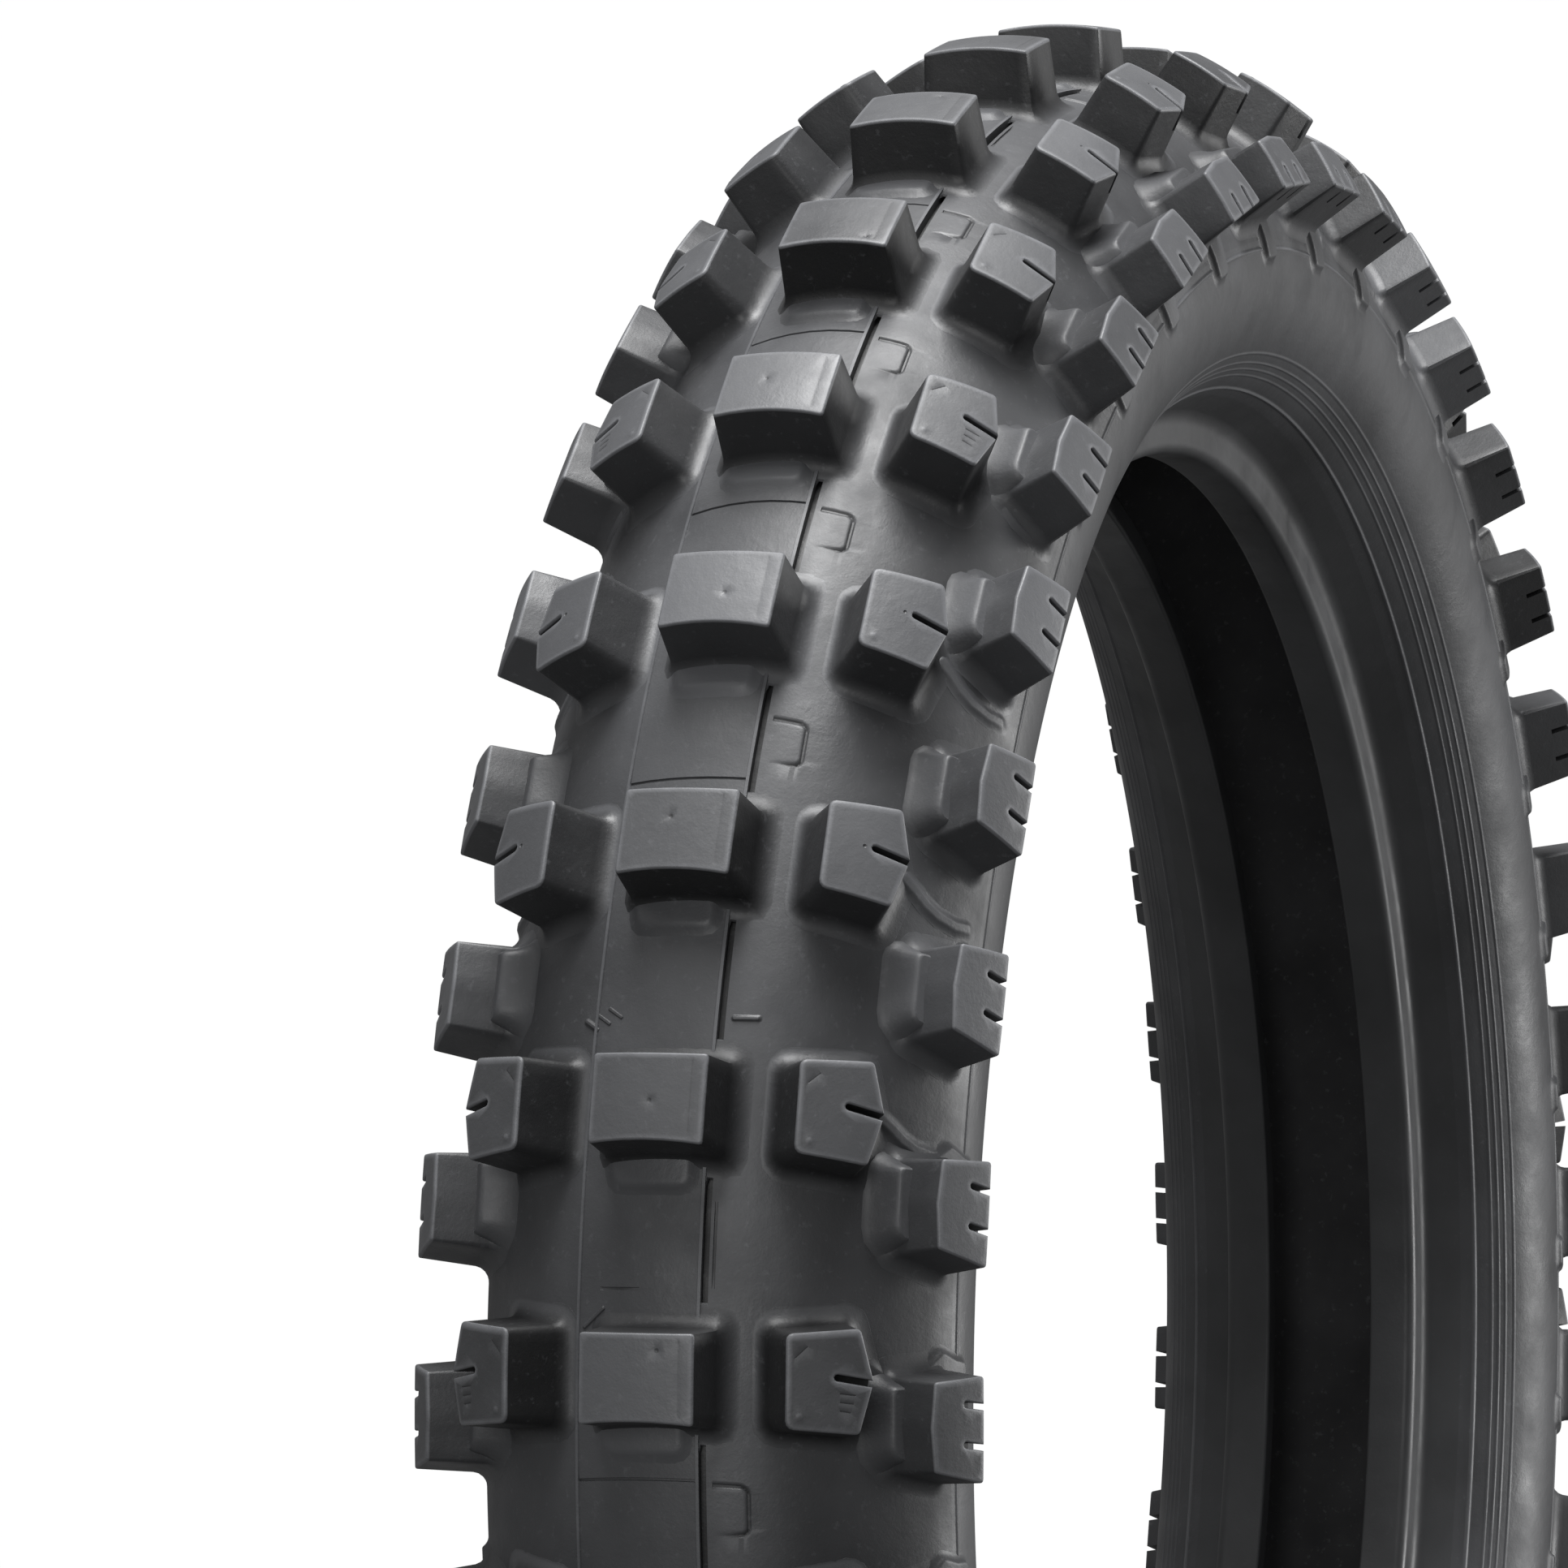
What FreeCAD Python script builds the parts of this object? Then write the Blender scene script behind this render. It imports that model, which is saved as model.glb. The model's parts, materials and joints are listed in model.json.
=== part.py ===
"""Off-road motorcycle rear tyre, 120/90-18 class, as an assembly of its real layers.

Frame: origin at the wheel centre, +Y along the axle to the tyre's right side, +Z up, +X forward.
Every ring is a section drawn in the XY plane (X is the radius, Y the axle) and turned about Y.
Every block is drawn on a plane square to the tread, padded inwards, repeated round the axle and
then trimmed to the tread arc outside and to the tread base inside, so it stands on the base.

The section is built from two families of parallel curves. The cavity family runs outwards from
the inside of the tyre: crown arc, side arc, a straight run to the bead core. The skin family runs
inwards from the outside: crown arc, side arc, a straight run, the rim flange hollow, the heel.
"""
import FreeCAD, Part
import math
import os
import Sketcher

SIZES = {
    # overall
    "outer_radius": 338.0,
    "block_height": 16.5,
    "crown_centre": 262.0,
    "side_centre": 274.0,
    "side_offset": 22.5,
    "tread_edge_angle": 76.0,
    # cavity
    "cavity_crown_centre": 255.2,
    "cavity_side_centre": 276.0,
    "cavity_side_offset": 22.0,
    "cavity_side_radius": 28.0,
    # layers
    "liner": 1.2,
    "ply": 0.9,
    "breaker": 0.9,
    "breaker_inner_angle": 42.0,
    "breaker_outer_angle": 38.0,
    "turnup_angle": 118.0,
    # bead and rim seat
    "rim_seat_radius": 228.6,
    "heel_offset": 27.3,
    "toe_offset": 14.5,
    "heel_radius": 3.0,
    "toe_radius": 1.0,
    "chafer": 1.2,
    "wrap": 0.4,
    "core_radius": 2.6,
    "flange_radius": 235.5,
    "flange_hollow": 5.0,
    # blocks
    "centre_rows": 34,
    "shoulder_rows": 39,
    "shoulder_lag": 1.9,
    "draft": 4.0,
    "pad_margin": 2.0,
    "pad_depth": 26.0,
    "centre_width": 26.8,
    "centre_length": 20.4,
    "centre_hollow": 0.8,
    "middle_angle": 33.0,
    "middle_inner_half": 9.6,
    "middle_outer_half": 7.2,
    "middle_point_half": 10.4,
    "middle_inner_length": 21.0,
    "middle_outer_length": 23.4,
    "shoulder_angle": 58.0,
    "shoulder_half": 7.0,
    "shoulder_length": 20.0,
    "shoulder_slope": 3.0,
    "shoulder_kink": 1.0,
    "step_width": 5.0,
    "step_drop": 9.0,
    "step_length": 19.0,
    "sipe_width": 1.4,
    "sipe_depth": 6.0,
    "middle_sipe_length": 9.0,
    "shoulder_sipe_length": 6.0,
    "shoulder_sipe_gap": 9.0,
}

doc = FreeCAD.newDocument("off_road_tyre")
sheet = doc.addObject("Spreadsheet::Sheet", "sizes")
for row, (alias, size) in enumerate(SIZES.items(), start=1):
    sheet.set(f"A{row}", str(size))
    sheet.setAlias(f"A{row}", alias)
doc.recompute()


def number(expression):
    """The value of an expression over the sheet."""
    result = sheet.evalExpression(str(expression))
    return float(getattr(result, "Value", result))


# Places and radii of the section, as expressions over the sheet.
CROWN = ("sizes.crown_centre", "0")
SIDE = ("sizes.side_centre", "sizes.side_offset")
CAVITY_CROWN = ("sizes.cavity_crown_centre", "0")
CAVITY_SIDE = ("sizes.cavity_side_centre", "sizes.cavity_side_offset")
TREAD_ARC = "(sizes.outer_radius - sizes.crown_centre)"
BASE_ARC = f"({TREAD_ARC} - sizes.block_height)"
SIDE_ARC = f"({BASE_ARC} - hypot(sizes.side_centre - sizes.crown_centre; sizes.side_offset))"
SKIN_JOIN = "atan2(sizes.side_offset; sizes.side_centre - sizes.crown_centre)"
CAVITY_STEP = "(sizes.cavity_side_centre - sizes.cavity_crown_centre)"
CAVITY_ARC = f"(hypot({CAVITY_STEP}; sizes.cavity_side_offset) + sizes.cavity_side_radius)"
CAVITY_JOIN = f"atan2(sizes.cavity_side_offset; {CAVITY_STEP})"

# Distances between the layers. Depths in the cavity family grow outwards from the cavity, and
# depths in the skin family grow inwards from the skin.
AT_LINER = "sizes.liner"
AT_FIRST_PLY = "(sizes.liner + sizes.ply)"
AT_SECOND_PLY = "(sizes.liner + 2 * sizes.ply)"
AT_FIRST_BREAKER = "(sizes.liner + 2 * sizes.ply + sizes.breaker)"
AT_SECOND_BREAKER = "(sizes.liner + 2 * sizes.ply + 2 * sizes.breaker)"
TURN_OUTER = "sizes.chafer"
TURN_MIDDLE = "(sizes.chafer + sizes.ply)"
TURN_INNER = "(sizes.chafer + 2 * sizes.ply)"
WRAP_RADIUS = "(sizes.core_radius + sizes.wrap)"
TO_CORE = f"({AT_SECOND_PLY} + {WRAP_RADIUS})"

# The bead core sits the same layers away from the rim seat and from the heel's outer face.
CORE = (f"(sizes.rim_seat_radius + {TURN_INNER} + {WRAP_RADIUS})",
        f"(sizes.heel_offset - {TURN_INNER} - {WRAP_RADIUS})")
CAVITY_REACH = f"({CAVITY_SIDE[0]} - {CORE[0]})"
CAVITY_RISE = f"({CAVITY_SIDE[1]} - {CORE[1]})"
CAVITY_RUN = (f"(atan2({CAVITY_RISE}; {CAVITY_REACH}) + acos(0 - "
              f"(sizes.cavity_side_radius + {TO_CORE}) / hypot({CAVITY_REACH}; {CAVITY_RISE})))")

# The rim flange hollow is an arc outside the rubber, tangent to the heel's face.
HOLLOW = ("sizes.flange_radius", "(sizes.heel_offset + sizes.flange_hollow)")
SKIN_REACH = f"({SIDE[0]} - {HOLLOW[0]})"
SKIN_RISE = f"({SIDE[1]} - {HOLLOW[1]})"
SKIN_RUN = (f"(atan2({SKIN_RISE}; {SKIN_REACH}) + acos(0 - "
            f"({SIDE_ARC} + sizes.flange_hollow) / hypot({SKIN_REACH}; {SKIN_RISE})))")

TREAD_EDGE = "sizes.tread_edge_angle * 1 deg"
TURNUP_END = "sizes.turnup_angle * 1 deg"
BREAKER_INNER_END = "sizes.breaker_inner_angle * 1 deg"
BREAKER_OUTER_END = "sizes.breaker_outer_angle * 1 deg"
BEHIND_RUN = f"({CAVITY_RUN} - 180 deg)"


def arc(centre, radius, start, end):
    return ("arc", centre, radius, start, end)


def point(across, along):
    return ("point", (across, along))


def polar(centre, radius, angle):
    return (f"{centre[0]} + ({radius}) * cos({angle})", f"{centre[1]} + ({radius}) * sin({angle})")


def cavity_arcs(depth, end=CAVITY_RUN):
    """Crown and side arcs of the cavity family, from the centre plane outwards."""
    return [arc(CAVITY_CROWN, f"{CAVITY_ARC} + {depth}", "0 deg", CAVITY_JOIN),
            arc(CAVITY_SIDE, f"sizes.cavity_side_radius + {depth}", CAVITY_JOIN, end)]


def round_core(radius, start, end):
    """An arc about the bead core, cut into stretches of under half a turn."""
    between = ["-90 deg", "-180 deg"]
    if number(start) < number(end):
        between.reverse()
    angles = [start, *between, end]
    return [arc(CORE, radius, first, last) for first, last in zip(angles, angles[1:])]


def turnup(depth, start=TURNUP_END):
    """The skin family from a turn-up's end down to the heel's outer face."""
    return [arc(SIDE, f"{SIDE_ARC} - {depth}", start, SKIN_RUN),
            arc(HOLLOW, f"sizes.flange_hollow + {depth}", f"{SKIN_RUN} - 180 deg", "-90 deg")]


def backwards(items):
    """The same stretch of outline, followed the other way."""
    turned = []
    for item in reversed(items):
        if item[0] == "arc":
            item = arc(item[1], item[2], item[4], item[3])
        turned.append(item)
    return turned


def mirrored(items):
    """The same stretch on the other side of the centre plane, followed the other way."""
    turned = []
    for item in reversed(items):
        if item[0] == "arc":
            centre = (item[1][0], f"0 - ({item[1][1]})")
            item = arc(centre, item[2], f"0 deg - ({item[4]})", f"0 deg - ({item[3]})")
        else:
            item = point(item[1][0], f"0 - ({item[1][1]})")
        turned.append(item)
    return turned


def fix_point(sketch, geometry, end, place):
    """Hold one end of a line or arc at a place given by expressions from the sketch's origin."""
    for kind, expression in (("DistanceX", place[0]), ("DistanceY", place[1])):
        value = number(expression)
        if abs(value) < 1e-6:
            axis = -2 if kind == "DistanceX" else -1
            sketch.addConstraint(Sketcher.Constraint("PointOnObject", geometry, end, axis))
            continue
        if value > 0:
            ends = (-1, 1, geometry, end)
        else:
            ends = (geometry, end, -1, 1)
            expression = f"0 - ({expression})"
        index = sketch.addConstraint(Sketcher.Constraint(kind, *ends, abs(value)))
        sketch.setExpression(f"Constraints[{index}]", expression)


def add_line(sketch, start, end):
    first = FreeCAD.Vector(number(start[0]), number(start[1]), 0)
    last = FreeCAD.Vector(number(end[0]), number(end[1]), 0)
    return sketch.addGeometry(Part.LineSegment(first, last), False)


def add_arc(sketch, item):
    """Adds an arc and returns its index with its start and end vertex, in the order followed."""
    centre = FreeCAD.Vector(number(item[1][0]), number(item[1][1]), 0)
    start, end = math.radians(number(item[3])), math.radians(number(item[4]))
    circle = Part.Circle(centre, FreeCAD.Vector(0, 0, 1), number(item[2]))
    index = sketch.addGeometry(Part.ArcOfCircle(circle, min(start, end), max(start, end)), False)
    radius = sketch.addConstraint(Sketcher.Constraint("Radius", index, number(item[2])))
    sketch.setExpression(f"Constraints[{radius}]", item[2])
    return (index, 1, 2) if start < end else (index, 2, 1)


def draw(sketch, items):
    """Draws a closed outline: its arcs, and a straight line wherever two items don't meet."""
    ends = []
    for item in items:
        if item[0] == "arc":
            ends.append((polar(item[1], item[2], item[3]), polar(item[1], item[2], item[4])))
        else:
            ends.append((item[1], item[1]))
    edges = []
    for item, (start, end), (following, _) in zip(items, ends, ends[1:] + ends[:1]):
        if item[0] == "arc":
            edges.append((*add_arc(sketch, item), start))
        gap = math.hypot(number(end[0]) - number(following[0]), number(end[1]) - number(following[1]))
        if gap > 1e-5:
            edges.append((add_line(sketch, end, following), 1, 2, end))
    for edge, following in zip(edges, edges[1:] + edges[:1]):
        sketch.addConstraint(Sketcher.Constraint("Coincident", edge[0], edge[2],
                                                 following[0], following[1]))
    for index, first, _, place in edges:
        fix_point(sketch, index, first, place)


def origin_feature(body, role):
    return next(item for item in body.Origin.OriginFeatures if item.Role == role)


def new_body(name):
    body = doc.addObject("PartDesign::Body", name)
    body.Label = name
    body.AllowCompound = True
    return body


def new_sketch(body, name, role):
    sketch = body.newObject("Sketcher::SketchObject", f"{body.Name}_{name}")
    sketch.AttachmentSupport = [(origin_feature(body, role), "")]
    sketch.MapMode = "FlatFace"
    return sketch


def turn_about_axle(body, kind, sketch):
    """Turns a section about the axle: a Revolution adds the ring, a Groove cuts it away."""
    turn = body.newObject(f"PartDesign::{kind}", f"{sketch.Name}_turn")
    turn.Profile = (sketch, [""])
    turn.ReferenceAxis = (sketch, ["V_Axis"])
    turn.Angle = 360
    body.Tip = turn


def ring(name, outline):
    """A sub-part turned about the axle from one closed section."""
    body = new_body(name)
    sketch = new_sketch(body, "section", "XY_Plane")
    draw(sketch, outline)
    turn_about_axle(body, "Revolution", sketch)
    return body


def both_sides(right):
    """Mirrors a right-hand sub-part and names the pair."""
    stem = right.Label
    right.Label = f"{stem}_right"
    left = doc.addObject("Part::Mirroring", f"{stem}_left")
    left.Label = f"{stem}_left"
    left.Source = right
    left.Normal = FreeCAD.Vector(0, 1, 0)
    return [left, right]


def bead_to_bead(name, inner, outer, turn_outer, turn_inner):
    """A carcass ply: across the crown, down each side, round the core and up the outside."""
    core_side = [*cavity_arcs(outer), *round_core(f"{TO_CORE} - {outer}", BEHIND_RUN, "-270 deg"),
                 *backwards(turnup(turn_inner))]
    skin_side = [*turnup(turn_outer),
                 *round_core(f"{TO_CORE} - {inner}", "-270 deg", BEHIND_RUN),
                 *backwards(cavity_arcs(inner))]
    right = core_side + skin_side
    return ring(name, right + mirrored(right))


def inner_liner():
    liner_end = [point(*polar(CORE, f"{TO_CORE} - {AT_LINER}", BEHIND_RUN)),
                 point(*polar(CORE, TO_CORE, BEHIND_RUN))]
    right = [*cavity_arcs(AT_LINER), *liner_end, *backwards(cavity_arcs("0"))]
    return ring("inner_liner", right + mirrored(right))


def breaker(name, inner, outer, end):
    right = [arc(CAVITY_CROWN, f"{CAVITY_ARC} + {outer}", "0 deg", end),
             arc(CAVITY_CROWN, f"{CAVITY_ARC} + {inner}", end, "0 deg")]
    return ring(name, right + mirrored(right))


def tread_base():
    """The sheet under the blocks: its inside steps over the two breakers."""
    right = [arc(CROWN, BASE_ARC, "0 deg", SKIN_JOIN),
             arc(SIDE, SIDE_ARC, SKIN_JOIN, TREAD_EDGE),
             arc(CAVITY_SIDE, f"sizes.cavity_side_radius + {AT_SECOND_PLY}", TREAD_EDGE, CAVITY_JOIN),
             arc(CAVITY_CROWN, f"{CAVITY_ARC} + {AT_SECOND_PLY}", CAVITY_JOIN, BREAKER_INNER_END),
             arc(CAVITY_CROWN, f"{CAVITY_ARC} + {AT_FIRST_BREAKER}", BREAKER_INNER_END,
                 BREAKER_OUTER_END),
             arc(CAVITY_CROWN, f"{CAVITY_ARC} + {AT_SECOND_BREAKER}", BREAKER_OUTER_END, "0 deg")]
    return ring("tread_base", right + mirrored(right))


def sidewall():
    """Side rubber from the tread's edge to the rim flange, over the ply and its turn-up."""
    return ring("sidewall", [
        arc(SIDE, SIDE_ARC, TREAD_EDGE, SKIN_RUN),
        arc(SIDE, f"{SIDE_ARC} - {TURN_OUTER}", SKIN_RUN, TURNUP_END),
        point(*polar(SIDE, f"{SIDE_ARC} - {TURN_INNER}", TURNUP_END)),
        arc(CAVITY_SIDE, f"sizes.cavity_side_radius + {AT_SECOND_PLY}", TURNUP_END, TREAD_EDGE)])


def chafer():
    """The hard rubber that meets the rim: toe, seat, heel and flange hollow."""
    seat = "sizes.rim_seat_radius"
    toe_centre = (f"{seat} + sizes.toe_radius", "sizes.toe_offset + sizes.toe_radius")
    heel_centre = (f"{seat} + sizes.heel_radius", "sizes.heel_offset - sizes.heel_radius")
    foot = polar(CORE, TO_CORE, BEHIND_RUN)
    toe_top = f"{foot[0]} - ({foot[1]} - sizes.toe_offset) * tan({CAVITY_RUN} - 90 deg)"
    inside = round_core(f"{TO_CORE} - {AT_LINER}", "-270 deg", BEHIND_RUN)
    flange = turnup("0", SKIN_RUN)[1:]
    lining = turnup(TURN_OUTER, SKIN_RUN)[1:]
    flange_top = point(*polar(SIDE, SIDE_ARC, SKIN_RUN))
    lining_top = point(*polar(SIDE, f"{SIDE_ARC} - {TURN_OUTER}", SKIN_RUN))
    return ring("chafer", [
        point(*foot),
        point(toe_top, "sizes.toe_offset"),
        arc(toe_centre, "sizes.toe_radius", "270 deg", "180 deg"),
        arc(heel_centre, "sizes.heel_radius", "180 deg", "90 deg"),
        *backwards(flange), flange_top, lining_top, *lining, *inside])


def bead_filler():
    """The hard rubber wedge above the core, between the ply and its turn-up."""
    return ring("bead_filler", [
        *turnup(TURN_INNER),
        arc(CORE, WRAP_RADIUS, "90 deg", BEHIND_RUN),
        arc(CAVITY_SIDE, f"sizes.cavity_side_radius + {AT_SECOND_PLY}", CAVITY_RUN, TURNUP_END)])


def round_ring(name, radii):
    """A ring of round section about the bead core's centre: solid, or a sleeve of two radii."""
    body = new_body(name)
    sketch = new_sketch(body, "section", "XY_Plane")
    centre = FreeCAD.Vector(number(CORE[0]), number(CORE[1]), 0)
    for radius in radii:
        circle = Part.Circle(centre, FreeCAD.Vector(0, 0, 1), number(radius))
        index = sketch.addGeometry(circle, False)
        size = sketch.addConstraint(Sketcher.Constraint("Radius", index, number(radius)))
        sketch.setExpression(f"Constraints[{size}]", radius)
        fix_point(sketch, index, 3, CORE)
    turn_about_axle(body, "Revolution", sketch)
    return body


def block_sketch(body, name, angle, drop="0"):
    """A sketch square to the tread at an angle round the section, a margin above the blocks' tops."""
    sketch = new_sketch(body, name, "YZ_Plane")
    height = f"({TREAD_ARC} + sizes.pad_margin - {drop})"
    sketch.AttachmentOffset = FreeCAD.Placement(
        FreeCAD.Vector(0, 0, 0), FreeCAD.Rotation(FreeCAD.Vector(0, 1, 0), number(angle)))
    sketch.setExpression("AttachmentOffset.Base.x", f"{height} * sin({angle} * 1 deg)")
    sketch.setExpression("AttachmentOffset.Base.z",
                         f"sizes.crown_centre + {height} * cos({angle} * 1 deg)")
    sketch.setExpression("AttachmentOffset.Rotation.Angle", f"{angle} * 1 deg")
    return sketch


def pad_inwards(body, sketch, name, drop="0"):
    pad = body.newObject("PartDesign::Pad", f"{body.Name}_{name}")
    pad.Profile = (sketch, [""])
    pad.Reversed = True
    pad.setExpression("Length", f"sizes.pad_depth - {drop}")
    pad.setExpression("TaperAngle", "sizes.draft * 1 deg")
    return pad


def cut_sipes(body, angle, outlines):
    """Narrow slots sunk into a block's top."""
    sketch = block_sketch(body, "sipes", angle)
    for outline in outlines:
        draw(sketch, outline)
    sipes = body.newObject("PartDesign::Pocket", f"{body.Name}_sipe_cut")
    sipes.Profile = (sketch, [""])
    sipes.setExpression("Length", "sizes.pad_margin + sizes.sipe_depth")
    return sipes


def repeat(body, features, rows):
    """Repeats a block round the axle and trims every copy to the tread arc and the tread base."""
    pattern = body.newObject("PartDesign::PolarPattern", f"{body.Name}_round")
    pattern.Originals = features
    pattern.Axis = (origin_feature(body, "Y_Axis"), [""])
    pattern.Angle = 360
    pattern.setExpression("Occurrences", rows)
    body.Tip = pattern
    for name, outline in (("base_trim", base_trim()), ("top_trim", top_trim())):
        sketch = new_sketch(body, name, "XY_Plane")
        draw(sketch, outline)
        turn_about_axle(body, "Groove", sketch)
    return body


def base_trim():
    """Everything under the surface that the blocks stand on."""
    low = "sizes.side_centre - sizes.pad_depth"
    right = [arc(CROWN, BASE_ARC, "0 deg", SKIN_JOIN),
             arc(SIDE, SIDE_ARC, SKIN_JOIN, "150 deg"),
             point(low, f"sizes.side_offset + {SIDE_ARC} * 0.5"),
             point(low, "0")]
    return right + mirrored(right[:-1])


def top_trim():
    """Everything above the arc that the blocks' tops lie on."""
    edge = "120 deg"
    right = [arc(CROWN, f"{TREAD_ARC} + sizes.pad_depth", "0 deg", edge),
             arc(CROWN, TREAD_ARC, edge, "0 deg")]
    return right + mirrored(right)


def centre_blocks():
    """Rectangular blocks astride the centre plane, with a hollow leading face."""
    body = new_body("centre_blocks")
    sketch = block_sketch(body, "plan", "0")
    half_width, half_length = "sizes.centre_width / 2", "sizes.centre_length / 2"
    bow = f"(({half_width})^2 / (2 * sizes.centre_hollow) + sizes.centre_hollow / 2)"
    spread = f"asin({half_width} / {bow})"
    bow_centre = ("0", f"0 - {half_length} + sizes.centre_hollow - {bow}")
    draw(sketch, [point(f"0 - {half_width}", half_length), point(half_width, half_length),
                  arc(bow_centre, bow, f"90 deg - {spread}", f"90 deg + {spread}")])
    return repeat(body, [pad_inwards(body, sketch, "block")], "sizes.centre_rows")


def middle_blocks():
    """Five-sided blocks between the centre and the shoulder, pointed outwards, with one sipe."""
    body = new_body("middle_blocks")
    angle = "sizes.middle_angle"
    sketch = block_sketch(body, "plan", angle)
    inner, outer = "sizes.middle_inner_length / 2", "sizes.middle_outer_length / 2"
    near, far, tip = ("0 - sizes.middle_inner_half", "sizes.middle_outer_half",
                      "sizes.middle_point_half")
    draw(sketch, [point(near, inner), point(far, outer), point(tip, "0"),
                  point(far, f"0 - {outer}"), point(near, f"0 - {inner}")])
    block = pad_inwards(body, sketch, "block")
    start, end = f"{tip} - sizes.middle_sipe_length", f"{tip} + sizes.pad_margin"
    half = "sizes.sipe_width / 2"
    sipes = cut_sipes(body, angle, [[point(start, half), point(end, half),
                                     point(end, f"0 - {half}"), point(start, f"0 - {half}")]])
    return repeat(body, [block, sipes], "sizes.centre_rows")


def shoulder_blocks():
    """Blocks on the shoulders, with a low step on the inside and two sipes on the outside."""
    body = new_body("shoulder_blocks")
    angle = "sizes.shoulder_angle"
    half, length = "sizes.shoulder_half", "sizes.shoulder_length / 2"
    sketch = block_sketch(body, "plan", angle)
    draw(sketch, [point(f"0 - {half}", length), point(half, f"{length} + sizes.shoulder_slope / 3"),
                  point(half, f"0 - {length} - sizes.shoulder_slope"),
                  point(f"0 - {half}", f"0 - {length}"),
                  point(f"0 - {half} - sizes.shoulder_kink", "0")])
    block = pad_inwards(body, sketch, "block")
    step = block_sketch(body, "step", angle, "sizes.step_drop")
    step_half = "sizes.step_length / 2"
    edge = f"0 - {half} - sizes.step_width"
    draw(step, [point(edge, step_half), point("0", step_half), point("0", f"0 - {step_half}"),
                point(edge, f"0 - {step_half}")])
    ledge = pad_inwards(body, step, "ledge", "sizes.step_drop")
    start, end = f"{half} - sizes.shoulder_sipe_length", f"{half} + sizes.pad_margin"
    slots = []
    for side in ("0 - sizes.shoulder_sipe_gap / 2", "sizes.shoulder_sipe_gap / 2"):
        low, high = f"{side} - sizes.sipe_width / 2", f"{side} + sizes.sipe_width / 2"
        slots.append([point(start, high), point(end, high), point(end, low), point(start, low)])
    sipes = cut_sipes(body, angle, slots)
    body = repeat(body, [block, ledge, sipes], "sizes.shoulder_rows")
    body.Placement = FreeCAD.Placement(
        FreeCAD.Vector(0, 0, 0),
        FreeCAD.Rotation(FreeCAD.Vector(0, 1, 0), number("sizes.shoulder_lag")))
    body.setExpression("Placement.Rotation.Angle", "sizes.shoulder_lag * 1 deg")
    return body


sub_parts = [
    inner_liner(),
    bead_to_bead("carcass_ply_inner", AT_LINER, AT_FIRST_PLY, TURN_OUTER, TURN_MIDDLE),
    bead_to_bead("carcass_ply_outer", AT_FIRST_PLY, AT_SECOND_PLY, TURN_MIDDLE, TURN_INNER),
    breaker("breaker_ply_inner", AT_SECOND_PLY, AT_FIRST_BREAKER, BREAKER_INNER_END),
    breaker("breaker_ply_outer", AT_FIRST_BREAKER, AT_SECOND_BREAKER, BREAKER_OUTER_END),
    tread_base(),
    centre_blocks(),
    *both_sides(middle_blocks()),
    *both_sides(shoulder_blocks()),
    *both_sides(sidewall()),
    *both_sides(chafer()),
    *both_sides(bead_filler()),
    *both_sides(round_ring("bead_wrap", [WRAP_RADIUS, "sizes.core_radius"])),
    *both_sides(round_ring("bead_core", ["sizes.core_radius"])),
]
doc.recompute()

for item in doc.Objects:
    if "Invalid" in item.State or "Error" in item.State:
        raise RuntimeError(f"{item.Name} did not recompute: {item.State}")
os.makedirs("parts", exist_ok=True)
for sub_part in sub_parts:
    shape = sub_part.Shape
    if shape.isNull() or not shape.isValid():
        raise RuntimeError(f"{sub_part.Label} has no valid shape")
    shape.exportStep(f"parts/{sub_part.Label}.step")
    print(f"{sub_part.Label}: {len(shape.Solids)} solids, {shape.Volume / 1000:.1f} cm3")
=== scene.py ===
"""Looks of the off-road motorcycle rear tyre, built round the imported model.

The model's frame: the axle along Y, Z up, the wheel's centre at the origin. Shapes are worked out in
millimetres and scaled to metres when a piece is made. A point on the tread is given by an angle
round the axle (phi), an angle round the section from the centre plane (theta) and a height over
the skin that the blocks stand on.
"""
import json
import math

import bpy
import numpy as np
from mathutils import Matrix, Vector
from mathutils.geometry import delaunay_2d_cdt


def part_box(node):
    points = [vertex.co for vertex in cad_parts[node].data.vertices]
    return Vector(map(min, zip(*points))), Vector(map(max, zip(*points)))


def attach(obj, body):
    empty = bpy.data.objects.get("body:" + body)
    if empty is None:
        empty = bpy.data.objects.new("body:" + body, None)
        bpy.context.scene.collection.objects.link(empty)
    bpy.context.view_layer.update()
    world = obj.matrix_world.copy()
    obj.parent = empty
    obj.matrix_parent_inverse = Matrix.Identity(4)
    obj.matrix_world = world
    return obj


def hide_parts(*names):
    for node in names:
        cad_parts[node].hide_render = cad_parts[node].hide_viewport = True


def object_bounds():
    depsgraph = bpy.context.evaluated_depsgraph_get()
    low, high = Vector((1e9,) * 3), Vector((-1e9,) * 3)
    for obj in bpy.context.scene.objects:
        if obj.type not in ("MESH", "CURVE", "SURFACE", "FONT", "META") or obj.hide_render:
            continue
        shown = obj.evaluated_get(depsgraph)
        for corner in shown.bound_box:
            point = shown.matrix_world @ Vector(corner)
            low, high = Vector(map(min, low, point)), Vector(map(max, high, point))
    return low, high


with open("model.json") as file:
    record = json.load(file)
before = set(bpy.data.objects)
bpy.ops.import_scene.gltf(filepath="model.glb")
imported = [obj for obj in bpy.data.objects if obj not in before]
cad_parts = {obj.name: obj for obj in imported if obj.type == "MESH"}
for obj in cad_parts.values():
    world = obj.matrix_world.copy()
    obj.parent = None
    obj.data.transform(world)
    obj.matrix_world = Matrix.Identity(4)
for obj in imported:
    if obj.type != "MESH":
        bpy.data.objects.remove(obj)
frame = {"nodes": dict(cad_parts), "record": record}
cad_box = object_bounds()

MM = 0.001
RANDOM = np.random.default_rng(18)

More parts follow.
